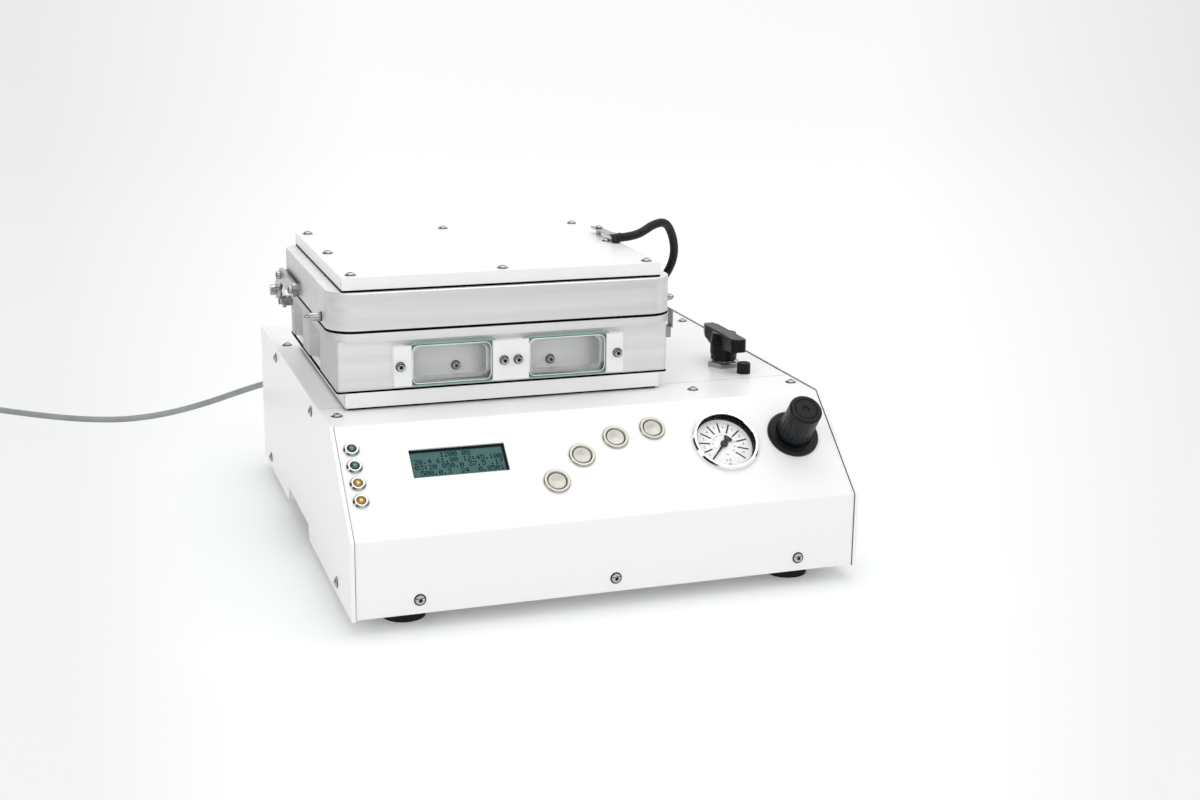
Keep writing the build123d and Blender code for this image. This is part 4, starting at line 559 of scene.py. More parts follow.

# Name, colour and roughness. Then metals: the streaks' direction. Plastics: grain in waves a metre, its
# depth in millimetres, and gloss. Lit ones: their own light, which on the dial and at the lenses'
# middles is painted light
M = {
    "housing": paint("housing_paint", WHITE),
    "tray": paint("tray_paint", WHITE, 0.28),
    "clamp": paint("clamp_paint", (0.86, 0.86, 0.855), 0.30),
    # The chamber's and the lid's sides are darkened as painted shade
    "chamber": shade_faces_along_x(metal("chamber_alloy", (0.97, 0.97, 0.97), 0.56, ALONG_X, 0.05), 0.68),
    "lid": shade_faces_along_x(metal("lid_alloy", (0.95, 0.952, 0.955), 0.48, ALONG_X, 0.05), 0.80),
    "carrier": plastic("carrier_alloy", (0.93, 0.93, 0.925), 0.50, 900.0, 0.01, drift=1.02),
    "steel": metal("steel", (0.50, 0.495, 0.485), 0.15, streak=0.05),
    "plate": metal("hinge_steel", (0.40, 0.395, 0.385), 0.20, ALONG_Z),
    "button": metal("button_steel", (0.60, 0.58, 0.535), 0.34, streak=0.04),
    "cap": metal("cap_metal", (0.56, 0.545, 0.50), 0.40, streak=0.10, depth=0.03),
    "chrome": metal("chrome", (0.95, 0.95, 0.96), 0.07, streak=0.02, depth=0.002),
    "lamp": metal("lamp_chrome", (0.80, 0.80, 0.79), 0.22, streak=0.04),
    # Painted shade on screw heads and on the pins' washers
    "recess": metal("recess_steel", (0.045, 0.045, 0.045), 0.45, streak=0.05),
    "nickel": metal("nickel", (0.40, 0.39, 0.36), 0.22, streak=0.05),
    "black": plastic("black_plastic", (0.006, 0.006, 0.007), 0.40, gloss=0.2),
    "grip": plastic("knob_plastic", (0.006, 0.0075, 0.009), 0.36, 2200.0, 0.03, 0.25),
    "handle": plastic("handle_plastic", (0.003, 0.0034, 0.004), 0.30, 1300.0, 0.05, 0.2),
    "rubber": plastic("foot_rubber", (0.014, 0.014, 0.014), 0.70, 900.0, 0.08, 0.2),
    # The chamber's seal ring is black rubber; the same material paints shade into the gaps
    "gasket": plastic("gasket_rubber", (0.002, 0.002, 0.002), 0.62, gloss=0.05),
    "lead": plastic("lead_plastic", (0.25, 0.26, 0.265), 0.45, 700.0, 0.02),
    "tie": plastic("tie_fabric", (0.03, 0.03, 0.032), 0.75, 500.0, 0.08),
    "sleeve": plastic("sleeve_fabric", (0.0055, 0.007, 0.0085), 0.48, 1400.0, 0.06, 0.25),
    "seam": plastic("seam_shadow", (0.10, 0.10, 0.10), 0.80),
    # Painted shade in the gaps at the side panels' edges
    "gap": plastic("panel_gap_painted_shade", (0.22, 0.215, 0.20), 0.60),
    "ink": plastic("ink_black", (0.012, 0.012, 0.013), 0.55),
    "grey_ink": plastic("ink_grey", (0.03, 0.033, 0.04), 0.55),
    "red_ink": plastic("ink_red", (0.55, 0.05, 0.05), 0.55),
    # Black that stands for shade: the gauge's bore, the tray's hollow and the band round the dial
    "inside": plastic("case_inside", (0.002, 0.002, 0.002), 0.60, 200.0, 0.0, gloss=0.05),
    "board": plastic("board_plastic", (0.02, 0.14, 0.06), 0.40),
    "hose": plastic("hose_plastic", (0.62, 0.63, 0.65), 0.35),
    # The dial's own light is painted light, brightening it in the shade of its case
    "dial": lit("dial_paint", (0.90, 0.90, 0.90), (1.0, 1.0, 1.0), 0.14),
    "gauge_glass": clear_glass("gauge_glass", (0.25, 0.25, 0.25), 0.02),
    "window": clear_glass("window_glass", (0.50, 0.56, 0.53), 0.03),
    "glass_edge": plastic("glass_edge", (0.24, 0.36, 0.30), 0.20, 300.0, 0.01),
    "glass_line": plastic("glass_line", (0.085, 0.15, 0.115), 0.20, 300.0, 0.01),
    # A pale line along the glass's bevel: painted highlight
    "glass_bevel_highlight": plastic("glass_bevel_highlight", (0.72, 0.78, 0.75), 0.20, 300.0, 0.01),
    "lcd": plastic("lcd_back", (0.050, 0.118, 0.112), 0.22, 400.0, 0.01, 0.12),
    "lcd_ink": plastic("lcd_ink", (0.001, 0.007, 0.009), 0.40, 400.0, 0.01, 0.0),
    "lcd_edge": plastic("lcd_edge", (0.006, 0.016, 0.016), 0.30, 400.0, 0.01, 0.05),
    "green_lens": lit("green_lens", (0.006, 0.050, 0.030), (0.01, 0.12, 0.07), 0.05),
    # Bright glowing dots at the lenses' middles: painted highlights
    "green_lens_highlight": lit("green_lens_highlight", (0.075, 0.26, 0.18), (0.10, 0.45, 0.30), 0.10),
    "amber_lens": lit("amber_lens", (0.36, 0.19, 0.015), (0.6, 0.3, 0.02), 0.04),
    "amber_lens_highlight": lit("amber_lens_highlight", (0.85, 0.58, 0.14), (1.0, 0.68, 0.20), 0.16),
}

# Which nodes have which look
LOOKS = {
    "housing": "bottom_pan front_cover rear_deck rear_panel "
        "left_side_panel right_side_panel side_cover_plate",
    "tray": "chamber_tray lid_cover",
    "clamp": "window_clamps",
    "chamber": "lower_chamber",
    "lid": "lid_block nozzle_plate",
    "steel": "housing_screws chamber_screws lid_screws lid_side_pins hinge_pins vacuum_port",
    "plate": "hinge_base_plates hinge_lid_plates lid_cable_clip power_supply",
    "button": "button_bodies",
    "cap": "button_enter button_down button_up button_cursor",
    "chrome": "gauge_case",
    "lamp": "lamp_bezels",
    "nickel": "valve_body lid_switch",
    "amber_lens": "lamp_lenses",
    "black": "display_module vent_silencer mains_inlet switch_frame "
        "switch_rocker cable_gland gauge_needle regulator_body",
    "grip": "regulator_knob regulator_ring regulator_spindle",
    "handle": "valve_handle",
    "rubber": "rubber_feet rubber_buffers",
    "gasket": "chamber_gasket",
    "lead": "mains_connector mains_plug",
    "board": "control_board",
    "hose": "vacuum_hose",
    "dial": "gauge_dial",
    "gauge_glass": "gauge_glass",
    "window": "window_glasses",
    "lcd": "display_screen",
    "carrier": "sample_carrier",
}


def repaint(name, look, test):
    """Give a second material to the faces of a node that pass a test."""
    mesh = nodes[name].data
    mesh.materials.append(M[look])
    number = len(mesh.materials) - 1
    for face in mesh.polygons:
        if test(face):
            face.material_index = number


def is_green(face):
    """Whether a face of the lenses belongs to the upper two."""
    return (face.center - lamp_centre).dot(SLOPE_UP) > 0


def in_gauge_bore(face):
    """Whether a face of the gauge's case lies in its bore."""
    aside = flattened(face.center - GAUGE_CENTRE)
    inwards = face.normal.dot(aside) < 0 or face.normal.dot(SLOPE_OUT) > FACING
    return aside.length < GAUGE_BORE_R and inwards


def is_tray_inside(face):
    """Whether a face of the tray looks inwards or down."""
    aside = face.center - tray_centre
    aside.z = 0
    return face.normal.z < -FACING_DOWN or face.normal.dot(aside) < -FACING_IN


def is_at_seam(face):
    """Whether a face lies in the seam between front cover and rear deck."""
    return abs(face.normal.y) > FACING and abs(face.center.y - deck_seam) < DECK_SEAM_REACH


for look, names in LOOKS.items():
    for name in names.split():
        nodes[name].data.materials.clear()
        nodes[name].data.materials.append(M[look])
ferrule_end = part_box("lid_cable_clip")[0][1] + FERRULE_L
deck_seam = (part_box("front_cover")[1][1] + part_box("rear_deck")[0][1]) / 2
tray_centre = sum(node_box("chamber_tray"), Vector()) / 2
lamp_centre = middle_of(points_of("lamp_lenses"))
repaint("lamp_lenses", "green_lens", is_green)
# The bore of the gauge's case is painted black as shade
repaint("gauge_case", "inside", in_gauge_bore)
# The tray's inward and downward faces are painted black as shade in the gap under it
repaint("chamber_tray", "inside", is_tray_inside)
# The side panels' faces that look in towards the middle are painted dark as shade in the gap
for panel in ("left_side_panel", "right_side_panel"):
    repaint(panel, "gap", lambda face: face.normal.x * face.center.x < -FACING * abs(face.center.x))
repaint("lid_cable_clip", "sleeve", lambda face: face.center.y < ferrule_end)
for name in ("front_cover", "rear_deck"):
    repaint(name, "seam", is_at_seam)
repaint("window_glasses", "glass_edge", lambda face: abs(face.normal.y) < FACING)


# Cords

def spline_curve(name, points, diameter, mat):
    """A round cord along one smooth open spline."""
    curve = bpy.data.curves.new(name, "CURVE")
    curve.dimensions = "3D"
    curve.bevel_depth = diameter / 2
    curve.bevel_resolution = CORD_ROUND
    curve.resolution_u = CORD_FINE
    curve.use_fill_caps = diameter > 0
    line = curve.splines.new("NURBS")
    line.points.add(len(points) - 1)
    for spot, point in zip(line.points, points):
        spot.co = (*point, 1)
    line.order_u = 3
    line.use_endpoint_u = True
    curve.materials.append(mat)
    return link(bpy.data.objects.new(name, curve))


def even_points(points, step):
    """Points along a fine line at even steps, with its two ends kept."""
    lengths = [0.0]
    for before, after in zip(points, points[1:]):
        lengths.append(lengths[-1] + (after - before).length)
    count = round(lengths[-1] / step)
    found, at = [], 0
    for number in range(count + 1):
        goal = lengths[-1] * number / count
        while at < len(points) - 2 and lengths[at + 1] < goal:
            at += 1
        share = (goal - lengths[at]) / max(lengths[at + 1] - lengths[at], 1e-9)
        found.append(points[at].lerp(points[at + 1], min(share, 1.0)))
    return found


def nurbs_line(route, step):
    """Points of the smooth spline through a route, at even steps."""
    curve = spline_curve("route", route, 0, M["sleeve"])
    curve.data.resolution_u = LINE_FINE
    mesh = bpy.data.meshes.new_from_object(curve)
    points = [vert.co.copy() for vert in mesh.vertices]
    bpy.data.objects.remove(curve)
    bpy.data.meshes.remove(mesh)
    return even_points(points, step)


def tube(points, radius_at, sides):
    """Points and faces of a closed tube along a line."""
    verts, faces = [], []
    side = Vector((0, 1, 0))
    for number, point in enumerate(points):
        after = points[min(number + 1, len(points) - 1)]
        before = points[max(number - 1, 0)]
        along = (after - before).normalized()
        side = (side - along * side.dot(along)).normalized()
        up = along.cross(side)
        for turn in range(sides):
            angle = 2 * pi * turn / sides
            reach = radius_at(number, angle)
            verts.append(point + side * reach * cos(angle) + up * reach * sin(angle))
    skin_rings(verts, faces, 0, sides)
    return verts, faces


def make_lid_cable():
    """The lid's cable in its braided sleeve."""
    points = nurbs_line(LID_CABLE_ROUTE, SLEEVE_STEP)

    def radius_at(number, angle):
        """The braid's radius at a point and an angle."""
        along = 2 * pi * number * SLEEVE_STEP / SLEEVE_PITCH
        braid = cos(SLEEVE_STRANDS * angle / 2 + along) * cos(SLEEVE_STRANDS * angle / 2 - along)
        return LID_CABLE_D / 2 * (1 - SLEEVE_RELIEF + SLEEVE_RELIEF * braid)

    verts, faces = tube(points, radius_at, SLEEVE_SIDES)
    cable = add_mesh("lid_cable_sleeve", verts, faces, M["sleeve"], None, "sleeve_fabric", True)
    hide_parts("lid_cable")
    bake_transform(cable)


def coil_points():
    """The put-away coil: half turns that wind inwards, climb one cord and wind out again."""
    inward = [COIL_OUTER_R - number * COIL_PITCH / 2 for number in range(2 * COIL_TURNS_IN)]
    climb = inward[-1] - COIL_PITCH / 2
    steps = [(radius, 0) for radius in inward] + [(climb, COIL_PITCH)]
    steps += [(radius, 0) for radius in inward[::-1]]
    at = Vector(LEAD_ROUTE[-1])
    heading = (at - Vector(LEAD_ROUTE[-2])).normalized()
    heading.z = 0
    heading.normalize()
    at = at + heading * LEAD_D
    points = []
    for radius, rise in steps:
        aside = Vector((-heading.y, heading.x, 0))
        centre = at + aside * radius
        for number in range(COIL_STEPS):
            angle = pi * (number + 0.5) / COIL_STEPS
            spot = centre - aside * radius * cos(angle) + heading * radius * sin(angle)
            points.append(spot + Vector((0, 0, rise * (number + 0.5) / COIL_STEPS)))
        at = at + aside * 2 * radius + Vector((0, 0, rise))
        heading = -heading
    points.append(at + heading * COIL_TAIL)
    return points


def make_tie():
    """A strap round the coil's turns."""
    low, high = node_box("mains_coil")
    middle = (low + high) / 2
    out = Vector(TIE_WAY).normalized()
    aside = Vector((-out.y, out.x, 0))
    outer = COIL_OUTER_R + LEAD_D / 2 + TIE_GAP
    inner = COIL_OUTER_R - COIL_TURNS_IN * COIL_PITCH - LEAD_D / 2 - TIE_GAP
    loop = rounded_loop((outer - inner) / 2, (high.z + TIE_GAP) / 2, LEAD_D / 2)
    verts, faces = [], []
    for grow in (0, TIE_T):
        for edge in (-1, 1):
            for right, up in loop:
                reach = Vector((right, up)).normalized() * grow
                across = (outer + inner) / 2 + right + reach.x
                height = max((high.z + TIE_GAP) / 2 + up + reach.y, TIE_LOWEST)
                flat = middle * FLAT + out * across + aside * edge * TIE_W / 2
                verts.append(flat + Vector((0, 0, height)))
    count = len(loop)
    for i in range(count):
        j = (i + 1) % count
        for a, b in ((0, 1), (3, 2), (2, 0), (1, 3)):
            faces.append((a * count + i, a * count + j, b * count + j, b * count + i))
    return add_mesh("coil_tie", verts, faces, M["tie"], "housing", "lead_plastic", True)


def make_lead():
    """The mains lead with its coil, from the connector to the plug."""
    points = [Vector(point) for point in LEAD_ROUTE] + coil_points()
    lead = spline_curve("mains_cord", points, LEAD_D, M["lead"])
    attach(lead, "housing")
    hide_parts("mains_lead", "mains_coil")
    sharpened(make_tie())


make_lead()
make_lid_cable()


# Screws

def head_of(points):
    """A screw's seat, outward axis, head radius, head height and shank length, from its points."""
    low, high = box_of(points)
    spans = [high[i] - low[i] for i in range(3)]
    axis = spans.index(max(spans))
    first, second = [i for i in range(3) if i != axis]
    seat = middle_of(points)
    radius = spans[first] / 2
    wide = [
        point[axis] for point in points
        if hypot(point[first] - seat[first], point[second] - seat[second]) > HEAD_EDGE * radius
    ]
    outwards = sum(wide) / len(wide) > seat[axis]
    level = min(wide) if outwards else max(wide)
    tip, tail = (high[axis], low[axis]) if outwards else (low[axis], high[axis])
    out = Vector((0, 0, 0))
    out[axis] = 1 if outwards else -1
    seat[axis] = level
    return seat, out, radius, abs(tip - level), abs(level - tail)


def ring_radius(share, hexagon, angle):
    """A ring's radius at an angle, round or as a hexagon with that half width."""
    return share / cos(angle % radians(60) - radians(30)) if hexagon else share


def add_heads(name, verts, faces, dark, body, plain):
    """Steel heads with some faces darkened as painted shade, in place of a node's plain ones."""
    obj = sharpened(add_mesh(name, verts, faces, M["steel"], body, "screw_steel"), HEAD_SHARP)
    obj.data.materials.append(M["recess"])
    for number in dark:
        obj.data.polygons[number].material_index = 1
    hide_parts(plain)


def make_screws(name, body):
    """Detailed screws with hexagon sockets in place of a node's plain ones."""
    verts, faces, dark = [], [], []
    for number, points in enumerate(loose_parts(name)):
        seat, out, radius, height, shank = head_of(points)
        side = Vector((out.y, out.z, out.x))
        up = out.cross(side)
        rings, hexagons, dark_rings = CAP_HEAD if height > HEAD_TALL * radius else PAN_HEAD
        below = [(SHANK_SHARE, -shank / height), (SHANK_SHARE, 0.0)]
        start = len(verts)
        turn = radians(SOCKET_TURN * number)
        for ring, (share, rise) in enumerate((*below, *rings), -len(below)):
            for step in range(HEAD_SIDES):
                angle = 2 * pi * step / HEAD_SIDES
                reach = radius * ring_radius(share, ring in hexagons, angle)
                spot = side * cos(angle + turn) + up * sin(angle + turn)
                verts.append(seat + spot * reach + out * rise * height)
        first = skin_rings(verts, faces, start, HEAD_SIDES)
        for ring in dark_rings:
            at = first + (len(below) + ring) * HEAD_SIDES
            dark.extend(range(at, at + HEAD_SIDES))
        dark.append(len(faces) - 1)
    add_heads(name + "_detailed", verts, faces, dark, body, name)


def make_pins():
    """The pins at the lid's sides, each on a washer darkened as painted shade."""
    low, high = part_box("lid_block")
    verts, faces, dark = [], [], []
    for points in loose_parts("lid_side_pins"):
        centre = middle_of(points)
        side = 1 if centre.x > (low[0] + high[0]) / 2 else -1
        foot = high[0] if side > 0 else low[0]
        tip = side * max(side * point.x for point in points)
        start = len(verts)
        for share, reach in PIN_LINE:
            for step in range(HEAD_SIDES):
                angle = side * 2 * pi * step / HEAD_SIDES
                y, z = centre.y + reach * MM * cos(angle), centre.z + reach * MM * sin(angle)
                verts.append((foot + (tip - foot) * share, y, z))
        first = skin_rings(verts, faces, start, HEAD_SIDES)
        dark.extend(range(first, first + PIN_DARK * HEAD_SIDES))
    add_heads("side_pins_detailed", verts, faces, dark, "lid", "lid_side_pins")


# Panel: display, lamps and gauge

def dot_places():
    """Places of the display's dots, 5 by 7 a character, right and up from its middle."""
    for row, line in enumerate(SHOWN_LINES):
        up = ((len(SHOWN_LINES) - 1) / 2 - row) * CELL_PITCH[1]
        for column, letter in enumerate(line):
            right = (column - (len(line) - 1) / 2) * CELL_PITCH[0]
            for j, dots in enumerate(DOT_DIGITS.get(letter, "").split()):
                for i, dot in enumerate(dots):
                    if dot == "1":
                        yield right + (i - 2) * DOT_PITCH, up + (3 - j) * DOT_PITCH


def make_display():
    """Digits on the display, and its frame's shade, wider at the right and the top."""
    low, high = node_box("display_screen")
    centre = lifted((low + high) / 2, "display_screen")
    verts, faces = [], []
    for x, y in dot_places():
        first = len(verts)
        for a, b in ((-1, -1), (1, -1), (1, 1), (-1, 1)):
            verts.append(slope_point(centre, x + a * DOT_SIZE / 2, y + b * DOT_SIZE / 2))
        faces.append((first, first + 1, first + 2, first + 3))
    add_mesh("display_digits", verts, faces, M["lcd_ink"], slot="screen")
    loops = []
    for inset, shift in ((-SCREEN_UNDER, 0.0), (SCREEN_EDGE, SCREEN_EDGE / 2)):
        loop = rounded_loop(SCREEN_SEEN[0] - inset, SCREEN_SEEN[1] - inset, SCREEN_CORNER_R, steps=2)
        loops.append([slope_point(centre, x - shift, y - shift) for x, y in loop])
    verts, faces = [], []
    band(verts, faces, *loops)
    add_mesh("display_edge", verts, faces, M["lcd_edge"], slot="screen")


def is_lens_highlight(face):
    """Whether a face of the lenses lies near its own lens's axis, where a highlight is painted."""
    return min(flattened(face.center - centre).length for centre in lens_centres) < LENS_HIGHLIGHT_R


def dial_point(centre, angle, reach, aside=0.0):
    """A point on the gauge's dial. The angle is in degrees, against the clock from the right."""
    turn = radians(angle)
    right = reach * cos(turn) - aside * sin(turn)
    return slope_point(centre, right, reach * sin(turn) + aside * cos(turn))


def add_number(verts, faces, words, centre, size):
    """Add a number in Blender's plain font to lists of points and faces."""
    letters = bpy.data.curves.new("number", "FONT")
    letters.body = words
    letters.size = size
    letters.align_x = letters.align_y = "CENTER"
    letters.resolution_u = 2
    shown = link(bpy.data.objects.new("number", letters))
    mesh = bpy.data.meshes.new_from_object(shown)
    first = len(verts)
    verts.extend(slope_point(centre, vert.co.x, vert.co.y) for vert in mesh.vertices)
    faces.extend(tuple(first + i for i in face.vertices) for face in mesh.polygons)
    bpy.data.objects.remove(shown)
    bpy.data.meshes.remove(mesh)
    bpy.data.curves.remove(letters)


def make_bore_shade(centre, reach):
    """The black band between the gauge's dial and its glass: painted shade on the bore's wall."""
    depth = min(heights_of("gauge_glass")) - centre.dot(SLOPE_OUT) - MARK_LIFT
    loop = rounded_loop(reach, reach, reach - MARK_LIFT, steps=16)
    low_loop = [slope_point(centre, x, y) for x, y in loop]
    verts, faces = [], []
    band(verts, faces, low_loop, [point + SLOPE_OUT * depth for point in low_loop])
    add_mesh("gauge_bore_shade", verts, faces, M["inside"], "housing", "dial_paint", True)


def make_dial():
    """Scale marks and plain numbers on the gauge's dial, and the painted shade round it."""
    low, high = node_box("gauge_dial")
    radius = (high.x - low.x) / 2
    centre = lifted(GAUGE_CENTRE, "gauge_dial")
    shapes = {look: ([], []) for look in DIAL_PIECES}
    verts, faces = shapes["ink"]
    inner, outer = DIAL_TICK
    step = DIAL_SWEEP / DIAL_STEPS
    for number in range(DIAL_STEPS + 1):
        angle = DIAL_START - step * number
        first = len(verts)
        for share, side in ((inner, -1), (outer, -1), (outer, 1), (inner, 1)):
            verts.append(dial_point(centre, angle, share * radius, side * DIAL_TICK_W / 2))
        faces.append((first + 3, first + 2, first + 1, first))
        place = dial_point(centre, angle, DIAL_RED_R * radius)
        add_number(*shapes["red_ink"], str(DIAL_RED_STEP * number), place, DIAL_RED_H)
        if number < DIAL_STEPS:
            place = dial_point(centre, angle - step / 2, DIAL_NUMBER_R * radius)
            add_number(*shapes["grey_ink"], str(number + 1), place, DIAL_NUMBER_H)
    for words, share, tall, look in DIAL_LOWER:
        add_number(*shapes[look], words, dial_point(centre, DIAL_DOWN, share * radius), tall * MM)
    for look, name in DIAL_PIECES.items():
        add_mesh(name, *shapes[look], M[look], slot="dial_paint")
    make_bore_shade(centre, radius - BORE_SHADE_INSET)


def make_needle():
    """The gauge's needle with its hub and its broad tail."""
    dial, end = max(heights_of("gauge_dial")), max(heights_of("gauge_needle"))
    low, high = (dial + (end - dial) * share for share in NEEDLE_SHARE)
    centre = flattened(GAUGE_CENTRE)
    ways = [flattened(point) - centre for point in points_of("gauge_needle")]
    tip = max(ways, key=lambda way: way.length)
    along = tip.normalized()
    across = SLOPE_OUT.cross(along)
    side = [(tip.length * share, wide * MM) for share, wide in NEEDLE_LINE]
    outline = side + [(reach, -wide) for reach, wide in side[-2::-1]]
    turns = [radians(360 * i / HUB_SIDES) for i in range(HUB_SIDES)]
    hub = [(HUB_R * cos(turn), HUB_R * sin(turn)) for turn in turns]
    verts, faces = [], []
    for line, bottom, over in ((outline, low, high), (hub[::-1], (low + dial) / 2, (high + end) / 2)):
        first, count = len(verts), len(line)
        for height in (bottom, over):
            verts.extend(centre + along * a + across * b + SLOPE_OUT * height for a, b in line)
        for i in range(count):
            j = (i + 1) % count
            faces.append((first + i, first + count + i, first + count + j, first + j))
        faces.append(tuple(range(first, first + count)))
        faces.append(tuple(range(first + count, first + 2 * count))[::-1])
    obj = sharpened(add_mesh("needle_detailed", verts, faces, M["ink"], "needle", "needle_paint"))
    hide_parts("gauge_needle")


# Chamber: glass rims, painted shade in the gaps and corner seams

def make_rims():
    """The windows' bevelled edges, seen through their glass, with a painted highlight along the bevel.
    """
    for number, look in enumerate(RIM_LOOKS):
        verts, faces = [], []
        for points in loose_parts("window_glasses"):
            centre = middle_of(points)
            front = min(point.y for point in points) - SEAM_LIFT
            loops = []
            for line in RIM_LINES[number:number + 2]:
                wide, high, radius = (MM * value for value in line)
                loop = rounded_loop(wide / 2, high / 2, radius)
                loops.append([Vector((centre.x + x, front, centre.z + z)) for x, z in loop])
            band(verts, faces, loops[1], loops[0])
        add_mesh("window_" + look, verts, faces, M[look], slot="window_glass")


def make_gap_shade(name, corners, heights, inset, radius, body="housing"):
    """A thin dark band, upright, round a box: painted shade in a gap."""
    low, high = corners
    middle = [(low[i] + high[i]) / 2 for i in (0, 1)]
    verts, faces, loops = [], [], []
    for grow in (inset, inset + GAP_SHADE_T):
        half = [(high[i] - low[i]) / 2 - grow for i in (0, 1)]
        loop = rounded_loop(*half, max(radius - grow, GAP_SHADE_CORNER_R), steps=8)
        for height in heights:
            loops.append([Vector((middle[0] + x, middle[1] + y, height)) for x, y in loop])
    for first, second in ((0, 1), (1, 3), (3, 2), (2, 0)):
        band(verts, faces, loops[first], loops[second])
    add_mesh(name, verts, faces, M["gasket"], body, "gasket_rubber", True)


def make_gap_shades():
    """Dark bands of painted shade in the gaps between deck, tray, chamber, lid and lid cover."""
    cover, chamber, tray = (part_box(name) for name in ("lid_cover", "lower_chamber", "chamber_tray"))
    cover_foot, tray_top = cover[0][2], tray[1][2]
    lid_top = max(point.z for point in points_of("lid_block") if point.z < cover_foot)
    heights = (lid_top + SEAM_LIFT, cover_foot + GAP_SHADE_OVER)
    make_gap_shade("cover_gap_shade", cover, heights, -GAP_SHADE_PROUD, TRAY_CORNER_R, "lid")
    heights = (chamber[1][2] - GAP_SHADE_UNDER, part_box("lid_block")[0][2] - SEAM_LIFT)
    make_gap_shade("lid_gap_shade", chamber, heights, -GAP_SHADE_PROUD, LID_CORNER_R)
    level = [point for point in points_of("lower_chamber") if abs(point.z - tray_top) < LEVEL_WITHIN]
    base = box_of(level)
    make_gap_shade("tray_gap_shade", base, (tray_top, tray_top + TRAY_GAP_SHADE_H), -TRAY_GAP_SHADE_PROUD, TRAY_CORNER_R)
    heights = (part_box("rear_deck")[1][2], tray[0][2] + UNDER_TRAY_SHADE_RISE)
    make_gap_shade("under_tray_shade", tray, heights, UNDER_TRAY_SHADE_INSET, UNDER_TRAY_SHADE_CORNER_R)


def make_seams():
    """Folded corners' seams on the sides of tray and lid cover."""
    for name, body, slot in SEAM_PIECES:
        low, high = node_box(name)
        foot, head = low.z + SEAM_FOOT, high.z - SEAM_HEAD
        half = (SEAM_LIFT / 2, SEAM_W / 2, (head - foot) / 2)
        verts, faces = [], []
        for x in (low.x - half[0], high.x + half[0]):
            for y in (low.y + SEAM_INSET, high.y - SEAM_INSET):
                add_block(verts, faces, (x, y, (foot + head) / 2), half)
        add_mesh(name + "_seams", verts, faces, M["seam"], body, slot)


lens_centres = [middle_of(points) for points in loose_parts("lamp_lenses")]
# Painted highlights at the lenses' middles
repaint("lamp_lenses", "amber_lens_highlight", is_lens_highlight)
repaint("lamp_lenses", "green_lens_highlight", lambda face: is_lens_highlight(face) and is_green(face))
make_screws("housing_screws", "housing")
make_screws("chamber_screws", "housing")
make_screws("lid_screws", "lid")
make_pins()
make_display()
make_dial()
make_needle()
make_rims()
make_gap_shades()
make_seams()


# Floor, backdrop, light and camera

def pool_strength(mat, place):
    """Strength of a pool of light thrown from the camera's place."""
    away = vector_maths(mat, "SUBTRACT", place, CAMERA_PLACE)
    turn = node(mat, "ShaderNodeVectorRotate", rotation_type="Z_AXIS", Vector=away, Angle=-CAMERA_YAW)
    parts = split(mat, turn.outputs["Vector"])
    slant = maths(mat, "DIVIDE", maths(mat, "ABSOLUTE", parts["X"]), parts["Y"])
    aside = remap(mat, slant, *POOL_SIDE[1], *POOL_SIDE[0])
    deep = remap(mat, parts["Y"], *POOL_DEPTH[1], *POOL_DEPTH[0])
    return maths(mat, "MULTIPLY", aside, deep)


def floor_material():
    """Plain paper near the object, and brighter further off."""
    mat = new_material("floor_pale", FLOOR_COLOUR, FLOOR_ROUGH)
    place = node(mat, "ShaderNodeTexCoord").outputs["Object"]
    past = vector_maths(mat, "SUBTRACT", vector_maths(mat, "ABSOLUTE", place), FOOTPRINT)
    away = vector_maths(mat, "MAXIMUM", past, (0, 0, 0))
    reach = vector_maths(mat, "LENGTH", away, result="Value")
    share = remap(mat, reach, NEAR_GLOW, 1.0, *GLOW_REACH)
    path = node(mat, "ShaderNodeLightPath").outputs
    seen = maths(mat, "MAXIMUM", path["Is Camera Ray"], path["Is Transmission Ray"])
    shown = maths(mat, "MAXIMUM", seen, path["Is Glossy Ray"])
    loss = remap(mat, split(mat, place)["Y"], FRONT_DARK - 1.0, 0.0, *FRONT_EDGE)
    kept = maths(mat, "MULTIPLY_ADD", path["Is Glossy Ray"], loss, 1.0)
    level = maths(mat, "MULTIPLY", pool_strength(mat, place), kept)
    glow = node(mat, "ShaderNodeEmission", Color=(*GLOW_COLOUR, 1), Strength=level)
    mix_shaders(mat, maths(mat, "MULTIPLY", shown, share), shader_of(mat), glow, "Material Output")
    return mat


def make_stage():
    """A pale floor that turns up into a backdrop."""
    line = [(STAGE_FRONT, 0.0)]
    for number in range(STAGE_STEPS + 1):
        angle = radians(90) * number / STAGE_STEPS
        line.append((STAGE_BACK + STAGE_BEND_R * sin(angle), STAGE_BEND_R - STAGE_BEND_R * cos(angle)))
    line.append((STAGE_BACK + STAGE_BEND_R, STAGE_TOP))
    verts = [(x, y, z) for x in (-STAGE_HALF_W, STAGE_HALF_W) for y, z in line]
    count = len(line)
    faces = [(i, i + count, i + count + 1, i + 1) for i in range(count - 1)]
    floor = add_mesh("floor", verts, faces, floor_material(), None, None, True)


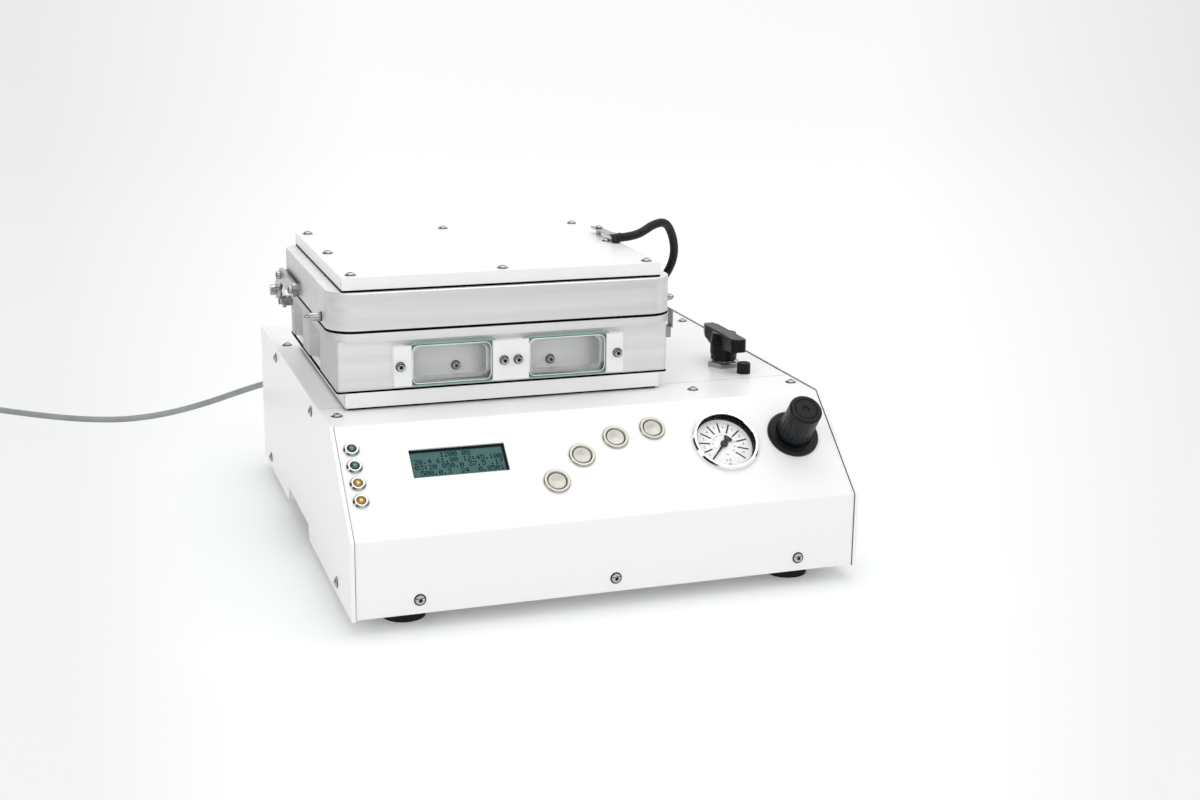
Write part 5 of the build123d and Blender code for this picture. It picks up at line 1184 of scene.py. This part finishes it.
def make_lights():
    """Soft light from above, the front and both sides."""
    for name, place, size, power in LIGHTS:
        lamp = bpy.data.lights.new(name, "AREA")
        lamp.shape = "RECTANGLE"
        lamp.size, lamp.size_y = size
        lamp.energy = power
        lamp.color = LIGHT_COLOUR
        obj = link(bpy.data.objects.new(name, lamp))
        obj.location = place
        obj.rotation_euler = (Vector(LIGHT_TARGET) - Vector(place)).to_track_quat("-Z", "Y").to_euler()


def make_world():
    """A pale world. Mirrors see a studio in it, darker at the left and low down."""
    world = bpy.data.worlds.new("pale")
    world.use_nodes = True
    bpy.context.scene.world = world
    pale = world.node_tree.nodes["Background"]
    pale.inputs["Color"].default_value = (*WORLD_COLOUR, 1)
    pale.inputs["Strength"].default_value = WORLD_STRENGTH
    parts = split(world, node(world, "ShaderNodeTexCoord").outputs["Generated"])
    ramp = node(world, "ShaderNodeValToRGB", Fac=parts["Z"])
    stops = ramp.color_ramp.elements
    for number, (position, level) in enumerate(STUDIO_LEVELS):
        stop = stops[number] if number < len(stops) else stops.new(position)
        stop.position = position
        stop.color = (level, level, level, 1)
    sideways = remap(world, parts["X"], STUDIO_LEFT, 1.0, *STUDIO_TURN)
    level = maths(world, "MULTIPLY", ramp.outputs["Color"], sideways)
    studio = node(world, "ShaderNodeBackground", Strength=level)
    glossy = node(world, "ShaderNodeLightPath").outputs["Is Glossy Ray"]
    mix_shaders(world, glossy, pale, studio, "World Output")


def make_camera():
    """The photograph's camera."""
    data = bpy.data.cameras.new("camera")
    data.lens = CAMERA_LENS
    data.shift_x, data.shift_y = CAMERA_SHIFT
    data.clip_start, data.clip_end = CAMERA_CLIP
    camera = link(bpy.data.objects.new("camera", data))
    aim = Matrix.Rotation(CAMERA_YAW, 4, "Z") @ Matrix.Rotation(pi / 2 - CAMERA_PITCH, 4, "X")
    camera.matrix_world = Matrix.Translation(CAMERA_PLACE) @ aim @ Matrix.Rotation(CAMERA_ROLL, 4, "Z")
    bpy.context.scene.camera = camera


make_stage()
make_lights()
make_world()
make_camera()
bpy.context.scene.view_settings.view_transform = "Standard"
